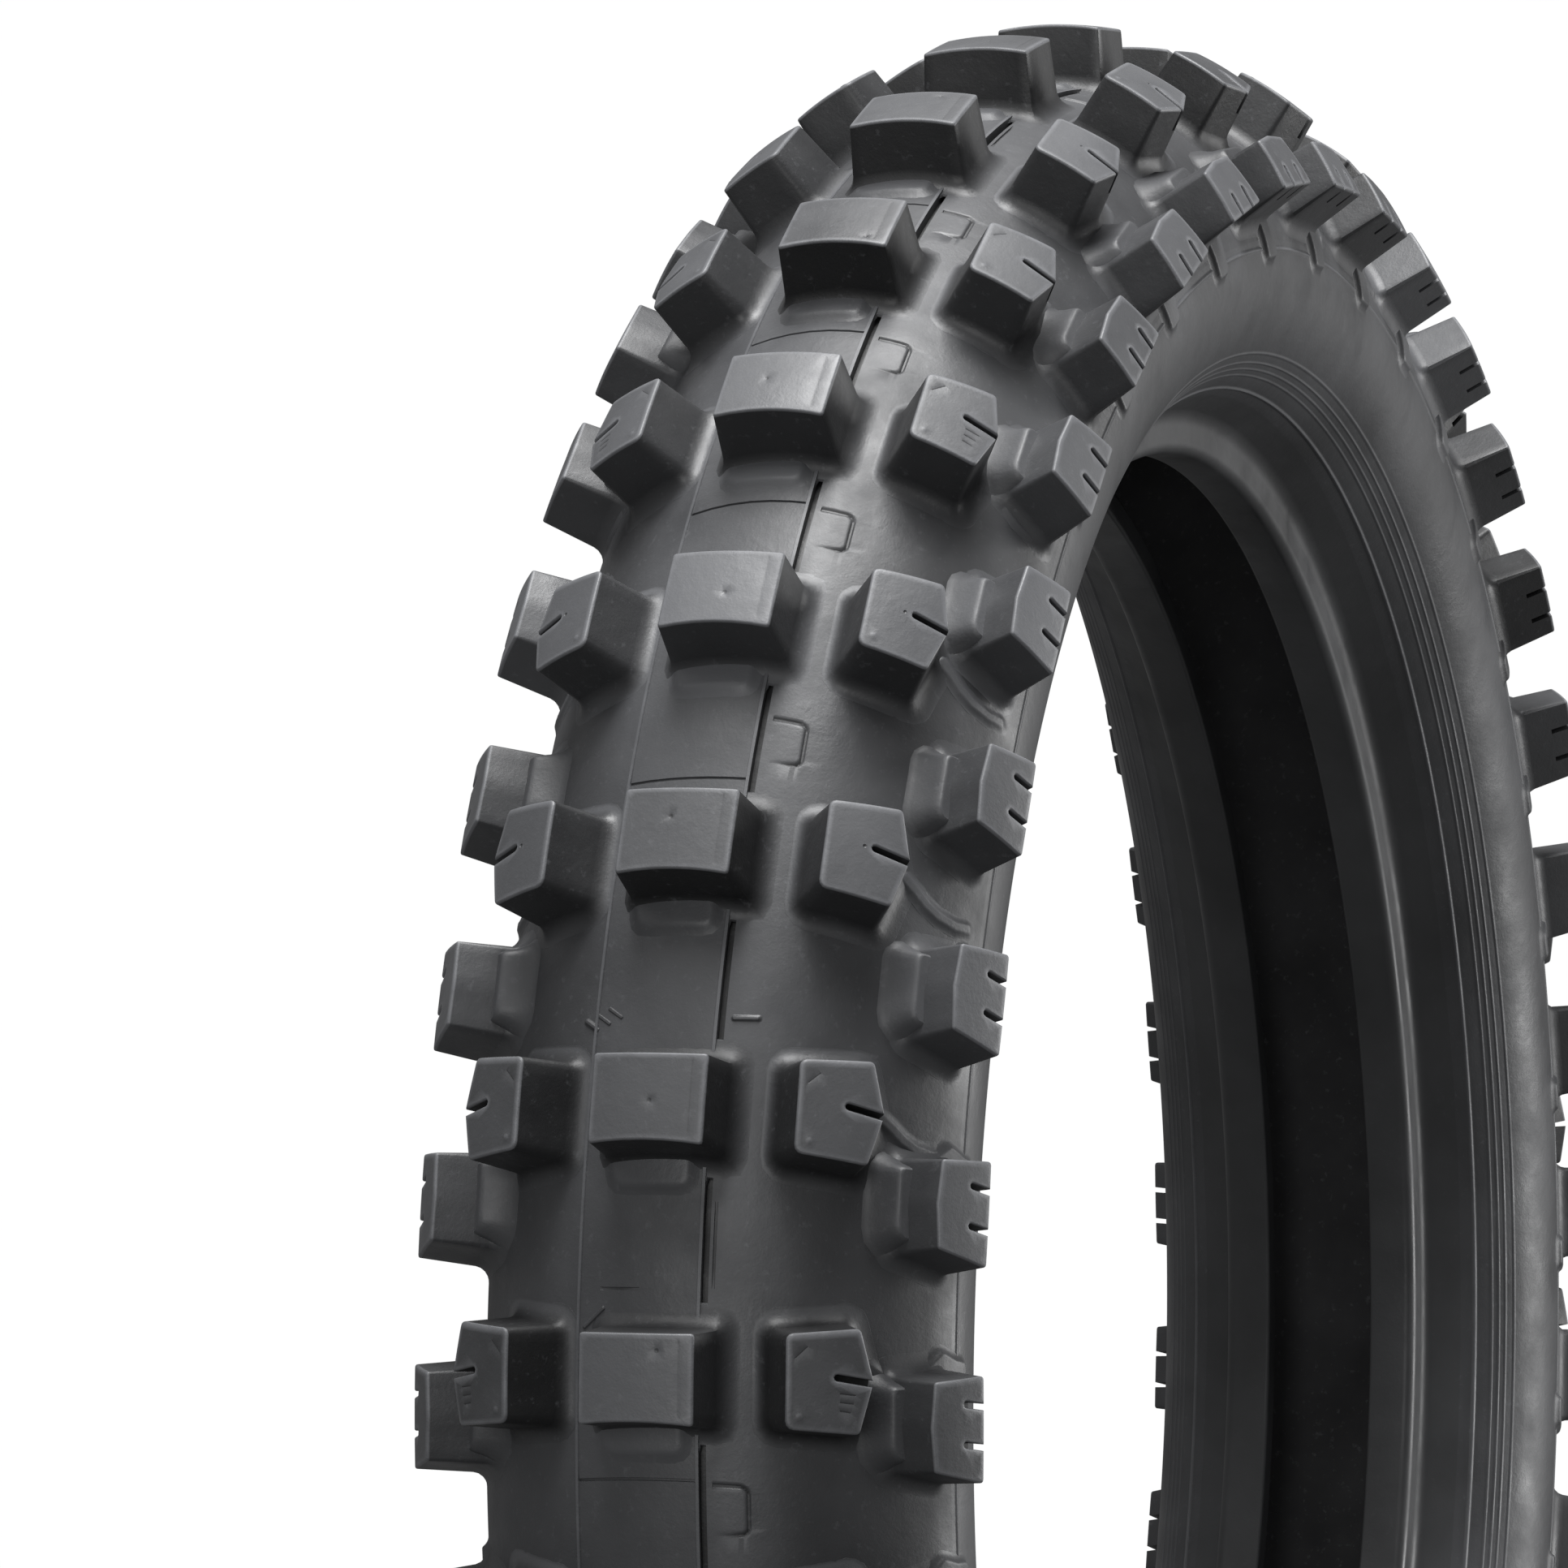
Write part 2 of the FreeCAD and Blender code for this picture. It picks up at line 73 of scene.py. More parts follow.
# The section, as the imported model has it.
OUTER_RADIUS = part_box("centre_blocks")[1].x / MM
CROWN_CENTRE = 262.0
SIDE_CENTRE = np.array([274.0, 22.5])
SHY = 0.02  # keeps the blocks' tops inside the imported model's box
BLOCK_HEIGHT = 16.5 - SHY
TREAD_ARC = OUTER_RADIUS - CROWN_CENTRE - SHY
BASE_ARC = TREAD_ARC - BLOCK_HEIGHT
TO_SIDE = SIDE_CENTRE - (CROWN_CENTRE, 0.0)
SIDE_ARC = BASE_ARC - math.hypot(*TO_SIDE)
SKIN_JOIN = math.atan2(TO_SIDE[1], TO_SIDE[0])
TREAD_EDGE = math.radians(76.0)
SKIN_RUN = math.radians(154.7)
HOLLOW_CENTRE, HOLLOW_RADIUS = np.array([235.5, 32.3]), 5.0
HEEL, TOE, SEAT = 27.3, 14.5, 228.6
HEEL_RADIUS, TOE_RADIUS = 3.0, 1.0
CAVITY_CROWN, CAVITY_CROWN_ARC = np.array([255.2, 0.0]), 58.28
CAVITY_SIDE, CAVITY_SIDE_ARC = np.array([276.0, 22.0]), 28.0
CAVITY_JOIN, CAVITY_RUN = math.radians(46.6), math.radians(146.2)
LINER_FOOT, TOE_TOP = (239.6, 17.96), (234.4, TOE)
LINER_FOOT_BACK = (LINER_FOOT[0] - 0.1, LINER_FOOT[1] + 0.6)
CHAFER_BACK = [(241.0, 24.0), (241.6, 30.6)]
LINER_THICKNESS, SIDE_THICKNESS, SKIN_THICKNESS = 1.1, 2.4, 2.7

# The tread pattern.
CENTRE_ROWS, SHOULDER_ROWS = 34, 39
SHOULDER_LAG = math.radians(-1.9)
MIDDLE_ANGLE, SHOULDER_ANGLE = math.radians(33.0), math.radians(58.0)
BUTTRESS_ANGLE = math.radians(70.0)
DRAFT = math.tan(math.radians(4.0))
SIPE_DEPTH = 6.0
BURIED, BURIED_SHARE = 0.5, 1.08  # how far a block's foot goes under the skin and past its fillet

# Fineness of the meshes.
STEPS_TO_SURFACE = 12
RING_SEGMENTS = 380
WALL_LOOP = 0.3  # from a bevel or a fillet to the next loop of points on the wall
OUTLINE_SPACING, CAP_SPACING, CAP_CLEARANCE = 2.2, 2.4, 0.9
NEARLY_STRAIGHT = 0.08
SHARP_ANGLE = math.radians(33.0)

# Painted light and shade in the rubber's colour: below 0 darker, above 0 lighter. Block tops and
# ledges are painted lighter, as lit from above, and walls darker, as painted shade. Pairs are for a
# block's top and its walls. The skin is lighter at the crown and painted with shade towards the
# valleys between the blocks.
TOP_LIGHT, WALL_SHADE, HOLLOW_WALL_SHADE = 0.35, -1.0, -1.25
PLAIN_LIGHT_AND_SHADE, LEDGE_LIGHT_AND_SHADE, SHOULDER_LIGHT_AND_SHADE = (0.15, 0.0), (0.35, 0.15), (TOP_LIGHT, -0.3)
CROWN_TONE, VALLEY_SHADE = 0.2, -0.3
# The rubber's own tone, which differs at random from one copy round the axle to the next.
TONE_SPREAD = 0.3


# ---------------------------------------------------------------- patches of mesh

class Patch:
    """Points in millimetres, faces over them, and two marks: a painted highlight on edges, and
    painted light and shade together with the rubber's random tone.
    """

    def __init__(self, points, faces, painted_highlight=None, tone=None):
        self.points = np.asarray(points, float)
        self.faces = faces
        self.painted_highlight = np.zeros(len(self.points)) if painted_highlight is None else np.asarray(painted_highlight, float)
        self.tone = np.zeros(len(self.points)) if tone is None else np.asarray(tone, float)


def join(patches):
    """One patch of several."""
    faces, start = [], 0
    for patch in patches:
        faces += [[index + start for index in face] for face in patch.faces]
        start += len(patch.points)
    return Patch(np.concatenate([patch.points for patch in patches]), faces,
                 np.concatenate([patch.painted_highlight for patch in patches]),
                 np.concatenate([patch.tone for patch in patches]))


def mirrored(patch):
    """The same patch on the tyre's left side."""
    return Patch(patch.points * (1, -1, 1), [face[::-1] for face in patch.faces],
                 patch.painted_highlight, patch.tone)


def turned(patch, phi, tone=0.0):
    """The patch turned round the axle, with its own tone of rubber."""
    x, y, z = patch.points.T
    cos, sin = math.cos(phi), math.sin(phi)
    points = np.stack([x * cos - z * sin, y, x * sin + z * cos], 1)
    return Patch(points, patch.faces, patch.painted_highlight, patch.tone + tone)


def round_axle(patches, count, lag=0.0):
    """Copies round the axle, taking the patches in turn, each copy a little lighter or darker."""
    copies = []
    for row in range(count):
        tone = RANDOM.normal(0.0, TONE_SPREAD)
        copies.append(turned(patches[row % len(patches)], lag + row * math.tau / count, tone))
    return join(copies)


# ---------------------------------------------------------------- the tyre's surfaces

def over_skin(radius, axle):
    """How far a point stands over the skin that the blocks rise from."""
    axle = np.abs(axle)
    beyond = np.arctan2(axle, radius - CROWN_CENTRE) > SKIN_JOIN
    crown = np.hypot(radius - CROWN_CENTRE, axle) - BASE_ARC
    side = np.hypot(radius - SIDE_CENTRE[0], axle - SIDE_CENTRE[1]) - SIDE_ARC
    return np.where(beyond, side, crown)


def over_tread(radius, axle):
    """How far a point stands over the arc that the blocks' tops lie on."""
    return np.hypot(radius - CROWN_CENTRE, axle) - TREAD_ARC


def skin(theta, height=0.0):
    """Radius and axle place of points at an angle round the section and a height over the skin."""
    theta, height = np.broadcast_arrays(np.asarray(theta, float), height)
    side = np.abs(theta) > SKIN_JOIN
    sign = np.sign(theta)
    centre_radius = np.where(side, SIDE_CENTRE[0], CROWN_CENTRE)
    centre_axle = np.where(side, sign * SIDE_CENTRE[1], 0.0)
    arc = np.where(side, SIDE_ARC, BASE_ARC) + height
    return centre_radius + arc * np.cos(theta), centre_axle + arc * np.sin(theta)


def on_skin(phi, theta, height=0.0):
    """Points round the axle at an angle round the section and a height over the skin."""
    radius, axle = skin(theta, height)
    return np.stack(np.broadcast_arrays(radius * np.cos(phi), axle, radius * np.sin(phi)), -1)


def block_place(flat, share, theta):
    """Points of a block from their place on its own plane (across, along) and a share of its height.

    The block rises along the section's direction at theta; share 0 is on the skin and 1 on the
    tread's arc."""
    across, along = flat.T
    reaches = []
    for over in (over_skin, over_tread):
        reach = np.full(len(flat), TREAD_ARC)
        for _ in range(STEPS_TO_SURFACE):
            x = CROWN_CENTRE + reach * math.cos(theta) - across * math.sin(theta)
            y = reach * math.sin(theta) + across * math.cos(theta)
            reach = reach - over(np.hypot(x, along), y)
        reaches.append(reach)
    reach = reaches[0] + (reaches[1] - reaches[0]) * share
    x = CROWN_CENTRE + reach * math.cos(theta) - across * math.sin(theta)
    y = reach * math.sin(theta) + across * math.cos(theta)
    return np.stack([x, y, along], 1)


# ---------------------------------------------------------------- outlines

def rounded(corners, radius, steps=3):
    """A counter-clockwise outline with rounded corners; its straight edges are divided evenly.

    radius is one number or one for each corner."""
    corners = np.asarray(corners, float)
    radii = np.broadcast_to(radius, len(corners))
    arcs = []
    for before, corner, after, size in zip(np.roll(corners, 1, 0), corners,
                                           np.roll(corners, -1, 0), radii):
        if size == 0:
            arcs.append([corner])
            continue
        back = (before - corner) / np.linalg.norm(before - corner)
        ahead = (after - corner) / np.linalg.norm(after - corner)
        half = math.acos(np.clip(back @ ahead, -1, 1)) / 2
        centre = corner + (back + ahead) / np.linalg.norm(back + ahead) * size / math.sin(half)
        start = corner + back * size / math.tan(half) - centre
        turn = math.pi - 2 * half
        arcs.append([centre + rotated(start, turn * step / steps) for step in range(steps + 1)])
    outline = []
    for arc, following in zip(arcs, arcs[1:] + arcs[:1]):
        outline += arc
        gap = following[0] - arc[-1]
        count = max(1, round(np.linalg.norm(gap) / OUTLINE_SPACING))
        outline += [arc[-1] + gap * part / count for part in range(1, count)]
    return np.array(outline)


def rotated(vector, angle):
    """A flat vector turned counter-clockwise."""
    cos, sin = math.cos(angle), math.sin(angle)
    return np.array([vector[0] * cos - vector[1] * sin, vector[0] * sin + vector[1] * cos])


def offset(outline, distances):
    """Moves each edge of a closed outline outwards by its own distance.

    Where two edges run nearly straight on, their point moves by the mean of the two."""
    distances = np.broadcast_to(distances, len(outline))
    edge = np.roll(outline, -1, 0) - outline
    edge = edge / np.linalg.norm(edge, axis=1)[:, None]
    after = np.stack([edge[:, 1], -edge[:, 0]], 1)
    before = np.roll(after, 1, 0)
    move_before = np.roll(distances, 1)
    cross = before[:, 0] * after[:, 1] - before[:, 1] * after[:, 0]
    straight = np.abs(cross) < NEARLY_STRAIGHT
    cross = np.where(straight, 1.0, cross)
    meet = np.stack([move_before * after[:, 1] - distances * before[:, 1],
                     distances * before[:, 0] - move_before * after[:, 0]], 1) / cross[:, None]
    along = (before + after) / 2 * ((move_before + distances) / 2)[:, None]
    return outline + np.where(straight[:, None], along, meet)


def with_sipe(outline, sipe_edges, inner, mouth, width):
    """Cuts a slot with a round inner end into an outline, from its mouth beyond the edge."""
    inner, mouth = np.asarray(inner, float), np.asarray(mouth, float)
    ahead = (mouth - inner) / np.linalg.norm(mouth - inner)
    side = rotated(ahead, math.pi / 2) * width / 2
    crossings = []
    for offset_side in (-side, side):
        crossings.append(first_crossing(outline, inner + offset_side, mouth + offset_side))
    (first, entry), (last, leave) = crossings
    end = [inner + rotated(-side, -math.pi * step / 4) for step in range(5)]
    kept = [(last + 1 + step) % len(outline)
            for step in range((first - last) % len(outline) or len(outline))]
    points = [outline[index] for index in kept] + [entry] + end + [leave]
    flags = [sipe_edges[index] for index in kept] + [True] * 6 + [False]
    return np.array(points), np.array(flags)


def first_crossing(outline, start, end):
    """The edge that a line crosses, and where."""
    ahead = end - start
    for index, (point, following) in enumerate(zip(outline, np.roll(outline, -1, 0))):
        edge = following - point
        cross = ahead[0] * edge[1] - ahead[1] * edge[0]
        if abs(cross) < 1e-12:
            continue
        gap = point - start
        on_line = (gap[0] * edge[1] - gap[1] * edge[0]) / cross
        on_edge = (gap[0] * ahead[1] - gap[1] * ahead[0]) / cross
        if 0 <= on_line <= 1 and 0 <= on_edge < 1:
            return index, point + edge * on_edge
    raise ValueError("the slot doesn't cross the outline")


def inside(outline, points):
    """Tells for each point whether it lies inside a closed outline."""
    x, y = points.T
    odd = np.zeros(len(points), bool)
    for (x0, y0), (x1, y1) in zip(outline, np.roll(outline, -1, 0)):
        crosses = (y0 > y) != (y1 > y)
        with np.errstate(divide="ignore", invalid="ignore"):
            odd ^= crosses & (x < (x1 - x0) * (y - y0) / (y1 - y0) + x0)
    return odd


def distance_to(outline, points):
    """How far points are from the nearest edge of a closed outline."""
    edge = np.roll(outline, -1, 0) - outline
    gap = points[:, None] - outline[None]
    share = np.clip((gap * edge).sum(2) / (edge * edge).sum(1), 0, 1)
    return np.linalg.norm(gap - share[:, :, None] * edge, axis=2).min(1)


def groove_points(start, end, width, depth):
    """Places (across, along) and depths of three rows of points along a fine groove."""
    start, end = np.asarray(start, float), np.asarray(end, float)
    length = np.linalg.norm(end - start)
    ahead = (end - start) / length
    side = rotated(ahead, math.pi / 2) * width / 2
    count = max(3, round(length / CAP_CLEARANCE))
    line = start + (end - start) * np.linspace(0, 1, count)[:, None]
    tips = np.array([start - ahead * width / 2, end + ahead * width / 2])
    places = np.concatenate([line + side, line - side, tips, line])
    return np.column_stack([places, np.repeat([0.0, depth], [2 * len(line) + 2, len(line)])])


def pip_points(centre, radius, depth):
    """Places and depths of points over a small round dimple, or a dome where depth is negative."""
    rings, count = [], 10
    turns = np.arange(count) * math.tau / count
    circle = np.stack([np.cos(turns), np.sin(turns)], 1)
    for share, level in ((1.0, 0.0), (0.62, 0.75), (0.05, 1.0)):
        ring = circle * radius * share + centre
        rings.append(np.column_stack([ring, np.full(count, depth * level)]))
    return np.concatenate(rings)


def fill(outline, strip, marks=()):
    """Triangles over an outline, with points inside so that they can follow a curved surface.

    The first row of points inside runs a strip's width from the edge; marks are places with depths,
    pressed into the surface. Returns all the points, the outline's first, their depths, and the
    triangles."""
    low, high = outline.min(0), outline.max(0)
    across = np.arange(low[0] + CAP_SPACING / 2, high[0], CAP_SPACING)
    along = np.arange(low[1] + CAP_SPACING / 2, high[1], CAP_SPACING)
    grid = np.stack(np.meshgrid(across, along), -1).reshape(-1, 2)
    grid = grid[inside(outline, grid)]
    grid = grid[distance_to(outline, grid) > strip + 0.4 * CAP_SPACING]
    row = offset(outline, -strip)
    row = row[inside(outline, row)]
    row = row[distance_to(outline, row) > 0.97 * strip]
    pressed = np.concatenate([np.zeros((0, 3)), *marks])
    if len(pressed):
        gap = np.linalg.norm(grid[:, None] - pressed[None, :, :2], axis=2).min(1)
        grid = grid[gap > CAP_CLEARANCE]
    points = np.concatenate([outline, row, grid, pressed[:, :2]])
    depths = np.concatenate([np.zeros(len(points) - len(pressed)), pressed[:, 2]])
    edges = [(index, (index + 1) % len(outline)) for index in range(len(outline))]
    flat = [Vector(point) for point in points]
    _, _, faces, origin, _, _ = delaunay_2d_cdt(flat, edges, [], 1, 1e-6)
    return points, depths, [[origin[index][0] for index in face] for face in faces]


# ---------------------------------------------------------------- blocks

def block(outline, theta, sipe_edges=None, top=1.0, bevel=0.5, foot=3.4, highlighted=0.9,
          lean=(0.0, 0.0, 0.0), rear_bevel=0.0, marks=(), light_and_shade=(TOP_LIGHT, WALL_SHADE), rim=0.0,
          soft=False):
    """One block of the tread: a bevelled top, drafted walls, sipes and a round fillet at its foot.

    top is the block's height as a share of the tread's, foot the fillet's radius, and highlighted
    the width of the strip along its top edges that is painted with a highlight. lean spreads the
    fillet on the inner, rear and outer sides, and rear_bevel widens the bevel along the rear edges,
    as shares of their sizes.
    light_and_shade paints light on the top and shade on the walls, and rim paints a highlight on
    the fillet's border on the inner and rear sides. A soft block has one smooth slope, as wide as
    its bevel and fillet together."""
    if sipe_edges is None:
        sipe_edges = np.zeros(len(outline), bool)
    top_light, wall_shade = light_and_shade
    sipe_points = sipe_edges & np.roll(sipe_edges, 1)
    height = BLOCK_HEIGHT * top
    floor = height - SIPE_DEPTH
    edge = np.roll(outline, -1, 0) - outline
    outward = np.stack([edge[:, 1], -edge[:, 0]], 1) / np.linalg.norm(edge, axis=1)[:, None]
    outward[sipe_edges] = 0.0
    mouths = sipe_edges & ~sipe_points
    outward[mouths] = np.roll(outward, 1, 0)[mouths]
    facing = np.clip([-outward[:, 0], outward[:, 1], outward[:, 0]], 0, 1)
    bevel_width = bevel * (1 + rear_bevel * facing[1])
    foot_width = foot * (1 + np.asarray(lean) @ facing)
    painted_rim_highlight = rim * np.maximum(facing[0], facing[1])

    # Each level: its height, its shares of the bevel's and the fillet's width, its painted
    # highlight,
    # and its painted light and shade: light on the top and bevel, shade on the walls that fades out
    # across the fillet.
    levels = []
    if soft:
        for step in np.linspace(0, 1, 9):
            slope = height * (0.5 + 0.5 * math.cos(math.pi * step))
            levels.append((slope, max(0.0, 1 - 2 * step), max(0.0, 2 * step - 1), 0.0,
                           top_light + (wall_shade - top_light) * step))
    else:
        for turn in np.radians([90.0, 60.0, 30.0, 0.0]):
            share = 1 - math.cos(turn)
            levels.append((height - bevel * (1 - math.sin(turn)), share, 0.0, 1.0, top_light))
        levels.append((height - bevel - WALL_LOOP, 0.0, 0.0, 0.0, wall_shade))
        if sipe_edges.any():
            levels.append((floor, 0.0, 0.0, 0.0, wall_shade))
        levels.append((foot + WALL_LOOP, 0.0, 0.0, 0.0, wall_shade))
        for turn in np.radians([0.0, 22.0, 44.0, 64.0, 80.0, 90.0]):
            share = 1 - math.cos(turn)
            levels.append((foot * (1 - math.sin(turn)), 0.0, share, 0.0, wall_shade * (1 - share)))
    levels.append((-BURIED, 0.0, BURIED_SHARE, 0.0, 0.0))

    rings, points, painted_highlight, tone, faces, start = [], [], [], [], [], 0
    for level, bevel_share, foot_share, edge_highlight, level_light_and_shade in levels:
        draft = DRAFT * max(0.0, height - bevel - max(level, 0.0))
        wall = foot_width * foot_share - bevel_width * bevel_share + draft
        flat = offset(outline, np.where(sipe_edges, -bevel_width * bevel_share, wall))
        kept = np.arange(len(outline))
        if level < floor - 1e-6:
            flat = offset_keeping(outline, sipe_points, wall)
            kept = kept[~sipe_points]
            flat = flat[~sipe_points]
        points.append(block_place(flat, level / BLOCK_HEIGHT, theta))
        painted_highlight.append(np.full(len(kept), edge_highlight))
        # painted highlight on the fillet's outer border, on the inner and rear sides
        tone.append(level_light_and_shade + painted_rim_highlight[kept] * math.sin(math.pi * min(foot_share, 1.0) ** 2))
        ring = np.full(len(outline), -1)
        ring[kept] = np.arange(start, start + len(kept))
        start += len(kept)
        rings.append(ring)
        if len(rings) == 1:
            cap = flat
    for upper, lower in zip(rings, rings[1:]):
        shared = np.flatnonzero((upper >= 0) & (lower >= 0))
        for index, following in zip(shared, np.roll(shared, -1)):
            faces.append([upper[index], lower[index], lower[following], upper[following]])
    if sipe_edges.any():
        floor_ring = next(number for number, level in enumerate(levels) if level[0] == floor)
        faces += sipe_floors(rings[floor_ring], sipe_points)
    last = rings[-1][rings[-1] >= 0]
    faces.append(last[::-1].tolist())
    filled, depths, triangles = fill(cap, highlighted, marks)
    inner = slice(len(cap), len(filled))
    points.append(block_place(filled[inner], top - depths[inner] / BLOCK_HEIGHT, theta))
    painted_highlight.append(np.zeros(len(filled) - len(cap)))
    # grooves and dimples pressed into the top are painted darker, as shade in them, and domes
    # lighter
    tone.append(top_light - np.clip(depths[inner] * 4.0, -0.5, 1.5))
    lift = start - len(cap)
    first = rings[0]
    faces += [[first[index] if index < len(cap) else index + lift for index in triangle]
              for triangle in triangles]
    faces = [[int(index) for index in face] for face in faces]
    return Patch(np.concatenate(points), faces, np.concatenate(painted_highlight), np.concatenate(tone))


def offset_keeping(outline, left_out, distances):
    """Offsets an outline as if some of its points weren't there, and leaves those in place."""
    moved = outline.copy()
    moved[~left_out] = offset(outline[~left_out], distances[~left_out])
    return moved


def sipe_floors(ring, sipe_points):
    """The bottoms of the sipes."""
    faces, count = [], len(ring)
    for index in range(count):
        if sipe_points[index] or not sipe_points[(index + 1) % count]:
            continue
        end = index + 1
        while sipe_points[end % count]:
            end += 1
        faces.append([ring[number % count] for number in range(end, index - 1, -1)])
    return faces


def ridge(line, width, height, theta):
    """A soft raised line with round ends through places (across, along).

    width is from foot to foot; the outline that is rounded off is narrower."""
    line = np.asarray(line, float)
    ahead = np.gradient(line, axis=0)
    ahead = ahead / np.linalg.norm(ahead, axis=1)[:, None]
    side = np.stack([-ahead[:, 1], ahead[:, 0]], 1) * 0.3 * width
    ends = [0.22 * width] + [0.0] * (len(line) - 2) + [0.22 * width]
    outline = rounded(np.concatenate([line - side, (line + side)[::-1]]), ends + ends, steps=2)
    return block(outline, theta, top=height / BLOCK_HEIGHT, bevel=0.18 * width, foot=0.25 * width,
                 highlighted=0.05 * width, light_and_shade=PLAIN_LIGHT_AND_SHADE, soft=True)


CENTRE_PIPS = [(5.2, 6.4), (0.8, -0.6), (-1.4, 3.0), (1.6, -1.6), (-2.4, 0.8), (8.0, -7.2)]


def centre_block(pip):
    """A rectangle astride the centre plane, with a hollow leading face and a low ledge before it."""
    half_width, half_length, hollow = 13.4, 10.2, 0.8
    steps = np.linspace(-1, 1, 7)[1:-1]
    leading = [(half_width * step, -half_length + hollow * (1 - step * step)) for step in steps]
    outline = rounded([(half_width, -half_length), (half_width, half_length),
                       (-half_width, half_length), (-half_width, -half_length), *leading],
                      [0.7] * 4 + [0.0] * len(leading), steps=2)
    parting_line = groove_points((GROOVE_AT, -8.2), (GROOVE_AT, 8.6), 0.6, 0.07)
    body = block(outline, 0.0, foot=3.6, lean=(0.0, 0.4, 0.0),
                 marks=[parting_line, pip_points(pip, 0.7, 0.2)], light_and_shade=(TOP_LIGHT, HOLLOW_WALL_SHADE))
    low = rounded([(-half_width, -17.8), (6.8, -17.8), (6.8, -9.0), (-14.4, -9.0)],
                  [4.0, 3.0, 2.2, 2.2])
    ledge = block(low, 0.0, top=0.10, bevel=1.9, foot=2.6, highlighted=0.5, light_and_shade=LEDGE_LIGHT_AND_SHADE, soft=True)
    return join([body, ledge])


def middle_block(marks):
    """Five sides, pointed towards the shoulder, with a slanting sipe and a ridge that leads on."""
    outline = rounded([(-9.6, -10.5), (7.2, -11.7), (10.4, 0.0), (7.2, 11.7), (-9.6, 10.5)],
                      [2.0, 1.2, 1.0, 1.2, 1.6])
    flags = np.zeros(len(outline), bool)
    outline, flags = with_sipe(outline, flags, (1.9, 0.9), (13.0, -0.9), 1.5)
    body = block(outline, MIDDLE_ANGLE, flags, foot=3.4, lean=(-0.3, 0.25, 0.5), rear_bevel=0.9,
                 rim=0.8, marks=marks)
    arm = [(12.6, 3.4), (14.8, 1.8), (17.1, 0.3), (19.8, -1.8), (23.3, -3.4), (28.1, -4.0),
           (32.6, -2.9)]
    return join([body, ridge(arm, 5.0, 0.8, MIDDLE_ANGLE)])


def middle_marks():
    """Faint grooves and pips on the middle blocks' tops, for rows in turn."""
    pip = pip_points((-6.6, -7.6), 0.9, -0.15)
    dimple = pip_points((-0.6, 0.9), 0.5, 0.25)
    corner = groove_points((-7.6, 5.2), (-5.0, 7.6), 0.5, 0.12)
    strokes = []
    for step in range(3):
        start, end = (2.6, -2.6 - 1.9 * step), (6.0 - 0.5 * step, -3.0 - 1.9 * step)
        strokes.append(groove_points(start, end, 0.5, 0.15))
    return [[pip, corner, *strokes], [pip, corner], [dimple], [dimple, pip]]


def shoulder_block():
    """A block kinked on its inner side, with two sipes, a low ledge inside and a buttress behind."""
    outline = rounded([(-7.0, -10.0), (7.0, -13.0), (7.0, 11.0), (-7.0, 10.0), (-8.0, 0.0)],
                      [0.8, 0.8, 0.8, 0.8, 0.0])
    flags = np.zeros(len(outline), bool)
    for place in (-4.6, 4.4):
        outline, flags = with_sipe(outline, flags, (1.6, place + 0.5), (9.5, place - 0.7), 1.4)
    body = block(outline, SHOULDER_ANGLE, flags, foot=3.2, lean=(0.0, 0.3, 0.0), rear_bevel=0.3,
                 light_and_shade=SHOULDER_LIGHT_AND_SHADE)
    low = rounded([(-12.0, -9.0), (-2.0, -9.0), (-2.0, 9.5), (-12.0, 9.5)], [4.2, 1.7, 1.7, 2.4])
    ledge = block(low, SHOULDER_ANGLE, top=0.42, bevel=1.5, foot=2.6, highlighted=0.5, light_and_shade=PLAIN_LIGHT_AND_SHADE,
                  soft=True)
    mound = rounded([(-11.0, 5.0), (5.4, 5.0), (5.4, 13.2), (0.4, 14.0), (-4.6, 16.0),
                     (-9.6, 12.8)], [1.8, 1.8, 1.8, 0.0, 2.2, 2.2])
    buttress = block(mound, BUTTRESS_ANGLE, top=0.09, bevel=0.9, foot=1.5, highlighted=0.3,
                     light_and_shade=PLAIN_LIGHT_AND_SHADE, soft=True)
    return join([body, buttress, ledge])


# ---------------------------------------------------------------- rings

def ring_faces(lines, count):
    """Faces between the lines of a grid that closes on itself both ways."""
    faces = []
    for line in range(lines):
        here, there = line * count, (line + 1) % lines * count
        for index in range(count):
            following = (index + 1) % count
            faces.append([here + index, here + following, there + following, there + index])
    return faces


def lathe(profile, painted_highlight=None):
    """A closed section turned about the axle.

    profile rows are (radius, axle). With the radius to the right and the axle up, the section is on
    the left as the rows are followed."""
    profile = np.asarray(profile, float)
    count = len(profile)
    phi = np.arange(RING_SEGMENTS) * math.tau / RING_SEGMENTS
    radius = np.repeat(profile[None, :, 0], RING_SEGMENTS, 0)
    axle = np.repeat(profile[None, :, 1], RING_SEGMENTS, 0)
    points = np.stack([radius * np.cos(phi)[:, None], axle, radius * np.sin(phi)[:, None]], -1)
    marks = np.tile(np.zeros(count) if painted_highlight is None else painted_highlight, RING_SEGMENTS)
    return Patch(points.reshape(-1, 3), ring_faces(RING_SEGMENTS, count), marks)


def arc_points(centre, radius, start, end, steps):
    """Points (radius, axle) along an arc of the section."""
    angles = np.linspace(start, end, steps)
    return np.stack([centre[0] + radius * np.cos(angles), centre[1] + radius * np.sin(angles)], 1)


def bump_line(place, middle, width, height):
    """A smooth ridge of a given width and height across a run of places."""
    away = np.clip(np.abs(place - middle) / (width / 2), 0, 1)
    return height * (0.5 + 0.5 * np.cos(math.pi * away))


